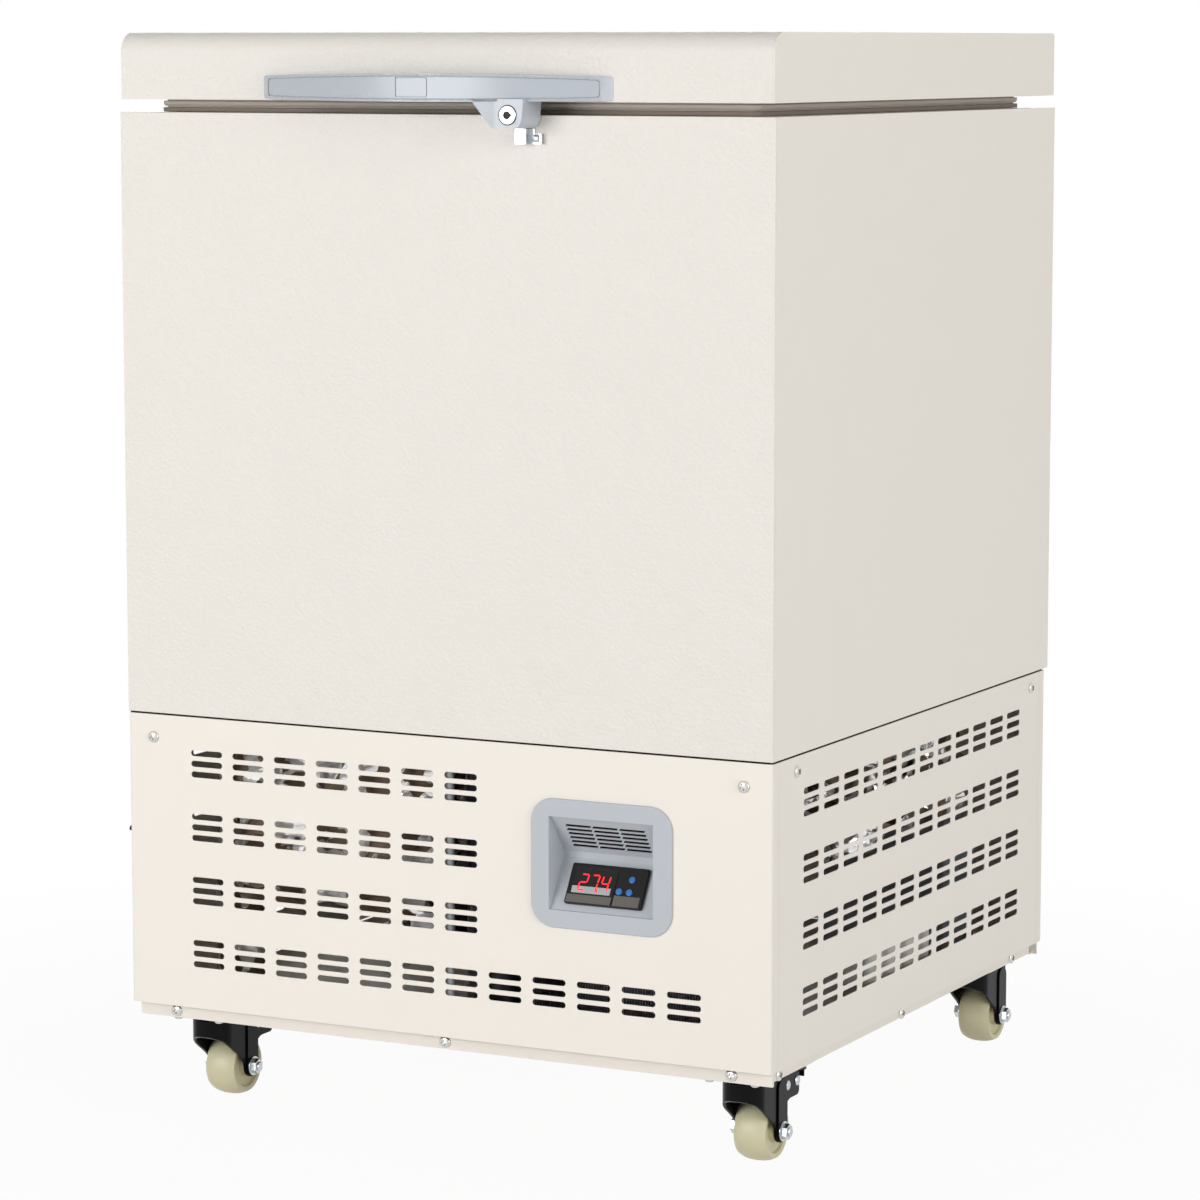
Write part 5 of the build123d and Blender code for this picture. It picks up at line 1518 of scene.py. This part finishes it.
@dataclass(frozen=True)
class Casters:
    """The four casters: plates, forks, wheels, axle bolts and the front pair's brakes."""

    x: float = 248.8
    ends: tuple[tuple[str, float, bool], ...] = (("front", 56.0, True), ("rear", 530.0, False))
    plate: tuple[float, float, float] = (54.0, 72.0, 3.0)
    trail: float = 28.0
    radius: float = 25.5
    fork_top: float = 72.7
    inner: float = 15.6
    wall: float = 2.5
    nose: float = 20.0
    nose_round: float = 17.0
    band: float = 15.5
    leg: float = 9.5
    pad: float = 1.5
    ear: float = 34.0

    def build(self) -> None:
        """Model one of each piece and set copies at the corners."""
        plate = self.mounting()
        wheel = self.wheel()
        forks = {braked: self.fork(braked) for braked in (True, False)}
        axles = {braked: self.axle(braked) for braked in (True, False)}
        pedal = self.pedal()
        plates, bolts = [], []
        for side, hand in ((-1, "left"), (1, "right")):
            for end, y, braked in self.ends:
                place = Matrix.Translation(spot(side * self.x, y, 0))
                corner = f"{end}_{hand}"
                plates.append(Bench.twin("plate", plate, place))
                sets = [(wheel, f"wheel_{corner}", NYLON, "caster_tyre_"),
                        (forks[braked], f"fork_{corner}", BLACK_ENAMEL, "caster_hood_"),
                        (axles[braked], f"axle_{corner}", ZINC, "caster_bolt_")]
                if braked:
                    sets.append((pedal, f"pedal_{corner}", BLACK_ENAMEL, "caster_lever_"))
                for pattern, node, finish, name in sets:
                    copy = Bench.twin(name + corner, pattern, place)
                    Bench.deliver(copy, finish, node, node)
                for across in (-20.0, 20.0):
                    for along in (-27.0, 27.0):
                        bolts.append(Matrix.Translation(
                            spot(side * self.x + across, y + along, 77.0)))
        heads = Bench.turned("bolt", WORLD, [(0, 0.3), (5.6, 0.3), (5.6, -0.9), (3.9, -1.2),
                                             (3.6, -2.6), (2.9, -3.2), (0, -3.3)], 24)
        for pattern in (plate, wheel, pedal, *forks.values(), *axles.values()):
            bpy.data.objects.remove(pattern, do_unlink=True)
        whole = Bench.join("caster_mounting_plates", *plates)
        Bench.deliver(whole, BLACK_ENAMEL, "caster_plates", "caster_plates")
        heads = Bench.copies("caster_plate_bolts", Bench.soften(heads, 0), bolts)
        Bench.deliver(heads, ZINC, "caster_plates")

    def local(self, u: float = 0.0) -> Plane:
        """The wheel's side plane through the swivel's axis, moved across."""
        return Plane(Vector((u, 0.0, 0.0)) * MM, DEEP, UP)

    def mounting(self) -> Piece:
        """The plate with its ball race and kingpin."""
        half_u, half_v = self.plate[0] / 2, self.plate[1] / 2
        low, high = 80.0 - self.plate[2], 80.0
        plate = Bench.slab("plate", WORLD, Outline.rounded(-half_u, half_u, -half_v, half_v, 5, 5),
                           low, high)
        Bench.soften(plate, 0.5)
        race = Bench.turned("race", WORLD, [(0, low), (19, low), (19, low - 1.6), (17.6, low - 3.2),
                                            (16.2, low - 3.9), (0, low - 3.9)], 40)
        pin = Bench.turned("pin", WORLD, [(0, low), (4, low), (4, 69.7), (7, 69.7), (7, 68.3),
                                          (6.2, 67.8), (0, 67.8)], 28)
        return Bench.join("plate", plate, Bench.soften(race, 0), Bench.soften(pin, 0))

    def wheel(self) -> Piece:
        """The crowned wheel with its recessed face, ribs and hub."""
        tread = [(13.0, 23.6), (14.0, 22.4)]
        right = [(15.2, 4.1), (15.2, 8.2), (14.6, 9.0), (10.4, 9.4), (10.0, 17.6), (10.6, 18.3),
                 (13.4, 18.8), (14.0, 19.6)]
        crown = [(14.0 - 14.0 * share, 25.5 - 3.1 * (1 - share) ** 2.6)
                 for share in (step / 6 for step in range(7))]
        half = [(r, x) for x, r in right] + [(r, x) for x, r in crown]
        loop = half + [(r, -x) for r, x in half[:-1][::-1]]
        axis = Plane(Vector((0.0, self.trail, self.radius)) * MM, DEEP, UP)
        piece = Bench.line("wheel", [axis.at(r, 0, x) for r, x in loop + loop[:1]])
        bpy.ops.mesh.select_all(action="SELECT")
        bpy.ops.mesh.spin(steps=56, angle=FULL_TURN, center=axis.at(0, 0), axis=axis.out)
        bpy.ops.mesh.select_all(action="SELECT")
        bpy.ops.mesh.remove_doubles(threshold=0.005 * MM)
        bpy.ops.mesh.select_all(action="SELECT")
        bpy.ops.mesh.normals_make_consistent(inside=False)
        bpy.ops.object.mode_set(mode="OBJECT")
        return Bench.soften(piece, 0, angle=38)

    def side(self, braked: bool) -> list[Flat]:
        """Side outline of the fork as (y, z).

        Args:
            braked: whether it has ears for the pedal.

        Returns:
            The points.
        """
        top, low = self.fork_top, self.fork_top - self.band
        axle, hub = self.trail, self.radius
        front, rear = axle - self.leg, axle + self.leg
        points = [(rear - 0.01, top), (-self.nose + 1.2, top), (-self.nose, top - 1.4),
                  (-self.nose, low + 2.2), (-self.nose + 0.7, low + 0.6)]
        sweep = [(0.06, 0.3), (0.2, 3.2), (0.37, 8.6), (0.5, 12.4), (0.65, 16.3), (0.79, 20.2),
                 (0.9, 24.2), (0.97, 27.6)]
        points += [(-self.nose + share * (front + self.nose), low - fall) for share, fall in sweep]
        points += Outline.arc((axle, hub), self.leg, 180, 360, 14)
        if braked:
            points += [(rear, top - 28.0), (rear + 1.2, top - 26.0), (rear + 5, top - 24.2),
                       (rear + 8, top - 23.8)]
            points += Outline.arc((axle + self.ear - 4, top - 19.8), 4, -90, 0, 4)
            points += [(axle + self.ear, top - 6.5), (axle + self.ear - 1.5, top - 4.8)]
        return points

    def plan(self, inset: float) -> list[Flat]:
        """Plan of the hood as (x, y), brought in by an inset."""
        half, nose = self.inner + self.wall - inset, self.nose - inset
        bend = self.nose_round - inset
        return ([(half, 80.0), (-half, 80.0)]
                + Outline.arc((bend - half, bend - nose), bend, 180, 270, 8)
                + Outline.arc((half - bend, bend - nose), bend, 270, 360, 8))

    def fork(self, braked: bool) -> Piece:
        """The pressed hood with its legs, raised pads and ears."""
        reach = self.inner + self.wall
        top = self.fork_top
        hood = Bench.slab("fork", WORLD, self.plan(0), 10, top)
        Bench.combine(hood, Bench.slab("mask", self.local(), self.side(braked), -reach - 1,
                                       reach + 1), Joining.KEEP)
        Bench.cut(hood, Bench.slab("room", WORLD, self.plan(self.wall), 0, top - self.wall))
        rear = self.trail + self.leg
        crown = Bench.slab("crown", WORLD, Outline.rectangle(-self.inner, self.inner, rear, 90),
                           0, top + 1)
        Bench.cut(hood, crown)
        pins = self.pins() if braked else []
        for pin_y, pin_z in [(self.trail, self.radius), *pins]:
            hole = 4.0 if pin_y == self.trail else 3.0
            Bench.cut(hood, Bench.disc("bore", self.local(), pin_y, pin_z, hole, -reach - 1,
                                       reach + 1, 28))
        Bench.cut(hood, Bench.disc("pin_bore", WORLD, 0, 0, 4.05, 60, 80, 28))
        Bench.soften(hood, 0.7, 3, 38)
        pads = []
        pad_top = top - self.wall - self.leg
        for side in (-1, 1):
            ends = sorted((side * (reach - 0.2), side * (reach + self.pad)))
            shape = (Outline.arc((self.trail, self.radius), 8.5, 180, 360, 14)
                     + Outline.arc((self.trail, pad_top), 8.5, 0, 180, 14))
            pad = Bench.slab("pad", self.local(), shape, *ends)
            Bench.cut(pad, Bench.disc("bore", self.local(), self.trail, self.radius, 4.0,
                                      ends[0] - 1, ends[1] + 1, 28))
            for pin_y, pin_z in pins:
                Bench.cut(pad, Bench.disc("rivet_room", self.local(), pin_y, pin_z, 4.5,
                                          ends[0] - 1, ends[1] + 1, 28))
            pads.append(Bench.soften(pad, 0.45, 3, 38))
        return Bench.join("fork", hood, *pads)

    def pins(self) -> list[Flat]:
        """The pedal's pivot and the stop rivet behind it, as (y, z)."""
        pivot = self.trail + 11.0
        return [(pivot, self.fork_top - 12.0), (pivot + 19.0, self.fork_top - 12.0)]

    def axle(self, braked: bool) -> Piece:
        """The axle bolt with its head, washer and nut, and the brake's rivets."""
        face = self.inner + self.wall + self.pad
        parts = [Bench.disc("shank", self.local(), self.trail, self.radius, 4.0, -face, face, 28)]
        for start, turn in ((-face - 5.5, 10), (face, 24)):
            shape = [(self.trail + a, self.radius + b)
                     for a, b in Outline.regular(6.6, 6, turn)]
            nut = Bench.slab("nut", self.local(), shape, start + (0.9 if start > 0 else 0),
                             start + 5.5 - (0 if start > 0 else 0.9))
            cap = Bench.turned("cap", self.local(),
                               [(0, start - 1), (5.3, start - 1), (7.2, start + 1.2),
                                (7.2, start + 4.3), (5.3, start + 6.5), (0, start + 6.5)], 36,
                               self.trail, self.radius)
            Bench.combine(nut, cap, Joining.KEEP)
            parts.append(Bench.soften(nut, 0.3))
            near = (start, start + 0.9) if start > 0 else (start + 4.6, start + 5.5)
            washer = Bench.disc("washer", self.local(), self.trail, self.radius, 8.2, *near, 36)
            parts.append(Bench.soften(washer, 0.2))
        end = face + 5.5
        tip = Bench.turned("tip", self.local(), [(0, end - 0.5), (3.9, end - 0.5), (3.9, end + 1.0),
                                                 (3.3, end + 1.5), (0, end + 1.5)], 28,
                           self.trail, self.radius)
        parts.append(Bench.soften(tip, 0))
        reach = self.inner + self.wall
        for pin_y, pin_z in self.pins() if braked else []:
            half = [(0.0, reach + 1.6), (2.3, reach + 1.6), (3.5, reach + 1.2), (4.2, reach + 0.4),
                    (4.2, reach), (3.0, reach)]
            profile = half + [(r, -w) for r, w in half[::-1]]
            rivet = Bench.turned("rivet", self.local(), profile, 28, pin_y, pin_z)
            parts.append(Bench.soften(rivet, 0))
        return Bench.join("axle", *parts)

    def pedal(self) -> Piece:
        """The foot pedal with its turned-down tip, cheeks and shoe."""
        half, top = self.inner - 0.3, self.fork_top - 1.0
        front = self.trail + self.leg + 0.3
        (pivot_y, pivot_z), (stop_y, _) = self.pins()
        end = pivot_y + 52.0
        fall, lip, bend = 5.9, 15.3, stop_y - 11
        knee = (end - 5, top - 5 - fall)
        profile = ([(front, top - 2), (bend, top - 2)] + Outline.arc(knee, 3, 90, 0, 5)
                   + [(end - 2, top - lip), (end, top - lip)] + Outline.arc(knee, 5, 0, 90, 7)
                   + [(bend, top), (front, top)])
        tread = Bench.slab("pedal", self.local(), profile, -half, half)
        tip = Bench.slab("tip", WORLD, [(half + 1, front - 1), (half + 1, end - 11)]
                         + Outline.arc((half - 11, end - 11), 11, 0, 90, 7)
                         + Outline.arc((11 - half, end - 11), 11, 90, 180, 7)
                         + [(-half - 1, end - 11), (-half - 1, front - 1)], 40, 80)
        Bench.combine(tread, tip, Joining.KEEP)
        parts = [Bench.soften(tread, 0.5, 2, 38)]
        angle = math.radians(53.0)
        shoe_y = self.trail + (self.radius + 5.6) * math.cos(angle)
        shoe_z = self.radius + (self.radius + 5.6) * math.sin(angle)
        cheek = [(front, pivot_z + 3), (front, top - 0.4), (stop_y - 6, top - 0.4),
                 (stop_y - 6, pivot_z - 2), (shoe_y + 3, shoe_z), (shoe_y, shoe_z - 3),
                 (shoe_y - 3, shoe_z), (pivot_y - 6, pivot_z)]
        for side in (-1, 1):
            ends = sorted((side * half, side * (half - 2)))
            plate = Bench.slab("cheek", self.local(), cheek, *ends)
            Bench.cut(plate, Bench.disc("bore", self.local(), pivot_y, pivot_z, 3.05,
                                        ends[0] - 1, ends[1] + 1, 28))
            parts.append(Bench.soften(plate, 0.3))
        shoe = Bench.disc("shoe", self.local(), shoe_y, shoe_z, 3.0, -half, half, 24)
        parts.append(Bench.soften(shoe, 0.3))
        return Bench.join("pedal", *parts)


@dataclass(frozen=True)
class Lagging:
    """Cold lines lagged and wrapped in crumpled foil, behind the upper louvres."""

    cells: int = 5
    crumple: float = 12.0
    bundles: tuple[tuple[str, Flat, Flat, Flat], ...] = (
        ("foil_lagging_front", (-204.0, -16.0), (15.0, 62.0), (190.0, 312.0)),
        ("foil_lagging_side", (238.0, 281.0), (170.0, 258.0), (238.0, 306.0)),
        ("foil_lagging_rear", (238.0, 281.0), (318.0, 412.0), (238.0, 306.0)),
        ("foil_lagging_corner", (256.0, 281.0), (76.0, 112.0), (284.0, 304.0)),
    )

    def build(self) -> None:
        """Crumple each bundle from a subdivided block."""
        for seed, (name, x, y, z) in enumerate(self.bundles, 3):
            bundle = Bench.block(name, x, y, z)
            bpy.ops.object.mode_set(mode="EDIT")
            bpy.ops.mesh.select_all(action="SELECT")
            bpy.ops.mesh.subdivide(number_cuts=self.cells)
            bpy.ops.mesh.quads_convert_to_tris()
            bpy.ops.transform.vertex_random(offset=self.crumple * MM, uniform=1.0, normal=0.0,
                                            seed=seed)
            bpy.ops.object.mode_set(mode="OBJECT")
            Bench.deliver(bundle, FOIL, "wrapped_line")
        trunk = Bench.block("wiring_trunk", (262.0, 282.0), (214.0, 352.0), (120.0, 153.0))
        Bench.deliver(Bench.soften(trunk, 1.2), INNER_PLASTIC, "control_box")


@dataclass(frozen=True)
class Receiver:
    """The upright liquid receiver beside the condenser, with its grey bracket."""

    x: float = 33.0
    y: float = 33.0
    radius: float = 22.0
    low: float = 100.0
    high: float = 322.0

    def build(self) -> None:
        """Spin the vessel and stand the bracket in front of it."""
        radius, low, high = self.radius, self.low, self.high
        dome = [(radius * share, rise) for share, rise in
                ((0.0, 12.0), (0.5, 10.8), (0.8, 7.4), (0.95, 3.4), (1.0, 0.0))]
        middle = (low + high) / 2
        weld = [(radius, middle - 2), (radius + 0.8, middle - 1), (radius + 0.8, middle + 1),
                (radius, middle + 2)]
        profile = ([(r, low + 12 - rise) for r, rise in dome] + weld
                   + [(r, high - 12 + rise) for r, rise in dome[::-1]])
        vessel = Bench.turned("liquid_receiver", LEVEL, profile, 40, self.x, self.y)
        Bench.deliver(Bench.soften(vessel, 0), COMPRESSOR_PAINT, "compressor")
        strap = Bench.block("receiver_bracket", (-1.0, 10.5), (3.0, 9.0), (low, high - 6))
        Bench.deliver(Bench.soften(strap, 2.6, 4), GREY_ENAMEL, "control_box")


@dataclass(frozen=True)
class Condenser:
    """The finned condenser: thin upright fins between two end plates, and its tubes."""

    left: float = 5.0
    right: float = 245.0
    front: float = 92.0
    deep: float = 52.0
    low: float = 92.0
    high: float = 290.0
    pitch: float = 2.5
    fin: float = 0.35
    tube: float = 4.8
    rows: int = 8

    def build(self) -> None:
        """Set the fins in a row, then the end plates and the tubes."""
        rear = self.front + self.deep
        pattern = Bench.slab("fin", LEVEL, Outline.rectangle(0, self.fin, self.front, rear),
                             self.low + 2, self.high - 2)
        count = int((self.right - self.left - 6) / self.pitch)
        places = [Matrix.Translation(ACROSS * ((self.left + 3 + self.pitch * step) * MM))
                  for step in range(count)]
        fins = Bench.copies("condenser_fins", pattern, places)
        Bench.deliver(fins, FIN_STOCK, "condenser", "condenser")
        plates = [Bench.block("plate", edge, (self.front - 1, rear), (self.low, self.high))
                  for edge in ((self.left, self.left + 1.5), (self.right - 1.5, self.right))]
        frame_plates = Bench.join("condenser_end_plates", *plates)
        Bench.deliver(Bench.soften(frame_plates, 0.4), ZINC, "condenser")
        bars = []
        step = (self.high - self.low) / self.rows
        for row in range(self.rows):
            for deep in (0.28, 0.72):
                bars.append(Bench.disc("tube", SECTION, self.front + deep * self.deep,
                                       self.low + (row + 0.5) * step, self.tube,
                                       self.left - 1.5, self.right + 1.5, 16))
        tubes = Bench.join("condenser_tubes", *bars)
        Bench.deliver(Bench.soften(tubes, 0.5), COPPER, "condenser")


@dataclass(frozen=True)
class Hidden:
    """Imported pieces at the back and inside, shown with rounded edges."""

    skirt_rise: float = 4.5
    softened: tuple[tuple[str, str, float], ...] = (
        ("cabinet_back", "cabinet_back_sheet", 0.4),
        ("base_frame", "base_frame_tray", 0.5),
        ("rim_collar", "moulded_rim_collar", 0.8),
        ("lid_liner", "moulded_lid_liner", 0.9),
        ("liner_tank", "pressed_tank", 0.6),
        ("hinge_cabinet_leaves", "hinge_leaves_on_cabinet", 0.35),
        ("hinge_lid_leaves", "hinge_leaves_on_lid", 0.35),
        ("hinge_pins", "hinge_pin_heads", 0.25),
        ("power_switch", "switch_body", 0.3),
        ("switch_lever", "switch_toggle", 0.3),
        ("power_inlet", "inlet_socket", 0.4),
        ("control_box", "control_box_cover", 1.0),
        ("compressor", "compressor_shell", 0.5),
        ("fan_shroud", "fan_shroud_sheet", 0.5),
        ("fan_blade", "fan_rotor", 0.3),
        ("fan_motor", "fan_motor_can", 0.6),
        ("lock_cam", "lock_hook_cam", 0.25),
    )

    def build(self) -> None:
        """Refine every listed node."""
        for node, name, width in self.softened:
            piece = Bench.refine(node, name, width)
            if node == "base_frame":
                self.trim(piece)

    def trim(self, tray: Piece) -> None:
        """Raise the lower edge of both side skirts above that of the front one."""
        run, height = (12.0, 572.0), (70.0, LAYOUT.caster_top + self.skirt_rise)
        for x in ((286.0, 300.0), (-300.0, -286.0)):
            Bench.cut(tray, Bench.block("trim", x, run, height))
        Bench.soften(tray, 0)


@dataclass(frozen=True)
class Lamp:
    """One soft area lamp that looks at the object."""

    name: str
    place: tuple[float, float, float]
    target: tuple[float, float, float]
    size: float
    power: float

    def light(self) -> None:
        """Hang the lamp and turn it to its target."""
        data = bpy.data.lights.new(self.name, "AREA")
        data.shape = "SQUARE"
        data.size = self.size
        data.energy = self.power
        lamp = bpy.data.objects.new(self.name, data)
        bpy.context.scene.collection.objects.link(lamp)
        lamp.location = self.place
        lamp.visible_camera = False
        facing = Vector(self.target) - Vector(self.place)
        lamp.rotation_mode = "QUATERNION"
        lamp.rotation_quaternion = facing.to_track_quat("-Z", "Y")


@dataclass(frozen=True)
class Studio:
    """White surroundings, a pale floor that keeps the shadow, and soft lamps."""

    ambient: float = 0.28
    floor_size: float = 60.0
    floor_share: float = 0.06
    floor_reach: tuple[float, float] = (0.5, 1.1)
    lamps: tuple[Lamp, ...] = (
        Lamp("lamp_front", (-2.2, -5.6, 1.2), (0.0, 0.0, 0.45), 3.0, 191.0),
        Lamp("lamp_right", (5.2, -1.8, 1.5), (0.0, 0.0, 0.45), 3.0, 123.0),
        Lamp("lamp_top", (0.4, 0.2, 4.2), (0.0, 0.0, 0.8), 3.6, 1.0),
        Lamp("lamp_back", (-2.5, 4.6, 1.6), (0.0, 0.0, 0.5), 3.0, 88.0),
    )

    def build(self) -> None:
        """Set up the world, the floor, the lamps and the view transform."""
        bpy.context.scene.view_settings.view_transform = "Standard"
        self.surround()
        self.floor()
        for lamp in self.lamps:
            lamp.light()

    @staticmethod
    def seen_directly(tree: bpy.types.NodeTree) -> bpy.types.NodeSocket:
        """Return one for camera, glossy and transmission rays, and nought for others."""
        path = add_node(tree, "LightPath")
        either = add_node(tree, "Math", {"operation": "MAXIMUM"},
                          {0: path.outputs["Is Camera Ray"], 1: path.outputs["Is Glossy Ray"]})
        every = add_node(tree, "Math", {"operation": "MAXIMUM"},
                         {0: either.outputs[0], 1: path.outputs["Is Transmission Ray"]})
        return every.outputs[0]

    def surround(self) -> None:
        """Make the world white where it is seen, and dimmer where it lights."""
        world = bpy.data.worlds.new("studio")
        bpy.context.scene.world = world
        world.use_nodes = True
        tree = world.node_tree
        seen = self.seen_directly(tree)
        level = add_node(tree, "MapRange", {"To Min": self.ambient, "To Max": 1.0}, {"Value": seen})
        tree.links.new(level.outputs[0], tree.nodes["Background"].inputs["Strength"])
        tree.nodes["Background"].inputs["Color"].default_value = (1.0, 1.0, 1.0, 1.0)

    def floor(self) -> None:
        """Lay the floor, which glows white where it is seen but keeps the shadow."""
        Bench.clear()
        bpy.ops.mesh.primitive_plane_add(size=self.floor_size)
        floor = Bench.named("studio_floor")
        made = bpy.data.materials.new("pale_matt_floor")
        made.use_nodes = True
        tree = made.node_tree
        shader = tree.nodes["Principled BSDF"]
        shader.inputs["Base Color"].default_value = linear("F4F3F1")
        shader.inputs["Roughness"].default_value = 0.9
        shader.inputs["Specular IOR Level"].default_value = 0.1
        glow = add_node(tree, "Emission", {"Color": (1.0, 1.0, 1.0, 1.0), "Strength": 1.0})
        place = add_node(tree, "TexCoord").outputs["Object"]
        reach = add_node(tree, "VectorMath", {"operation": "LENGTH"}, {0: place})
        near, far = self.floor_reach
        fade = add_node(tree, "MapRange", {"From Min": near, "From Max": far,
                                           "To Min": 1 - self.floor_share, "To Max": 1.0},
                        {"Value": reach.outputs["Value"]})
        share = add_node(tree, "Math", {"operation": "MULTIPLY"},
                         {0: self.seen_directly(tree), 1: fade.outputs[0]})
        blend = add_node(tree, "MixShader", None, {0: share.outputs[0], 1: shader.outputs[0],
                                                   2: glow.outputs[0]})
        tree.links.new(blend.outputs[0], tree.nodes["Material Output"].inputs["Surface"])
        floor.data.materials.append(made)


@dataclass(frozen=True)
class Viewpoint:
    """The camera, at the photograph's angle and distance."""

    azimuth: float = 26.976
    elevation: float = 7.294
    place: tuple[float, float, float] = (1682.2, -3018.2, 891.6)
    lens: float = 130.27
    sensor: float = 36.0

    def build(self) -> None:
        """Set the camera up and make it the scene's own."""
        data = bpy.data.cameras.new("camera")
        data.lens = self.lens
        data.sensor_width = self.sensor
        data.clip_start = 0.05
        camera = bpy.data.objects.new("camera", data)
        bpy.context.scene.collection.objects.link(camera)
        turn = math.radians(self.azimuth)
        rise = math.radians(self.elevation)
        back = Vector((math.sin(turn) * math.cos(rise), -math.cos(turn) * math.cos(rise),
                       math.sin(rise)))
        camera.location = spot(*self.place)
        camera.rotation_mode = "QUATERNION"
        camera.rotation_quaternion = (-back).to_track_quat("-Z", "Y")
        bpy.context.scene.camera = camera


def main() -> None:
    """Dress the frame, model the pieces and set up the studio and the camera."""
    logging.basicConfig(level=logging.INFO, format="%(message)s")
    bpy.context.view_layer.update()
    dress_frame()
    for assembly in (Cabinet(), Lid(), Gasket(), Handle(), Lock(), Screws(), LowerPanels(),
                     Bezel(), Controller(), Casters(), Lagging(), Receiver(), Condenser(),
                     Hidden()):
        assembly.build()
    Studio().build()
    Viewpoint().build()


if __name__ == "__main__":
    main()
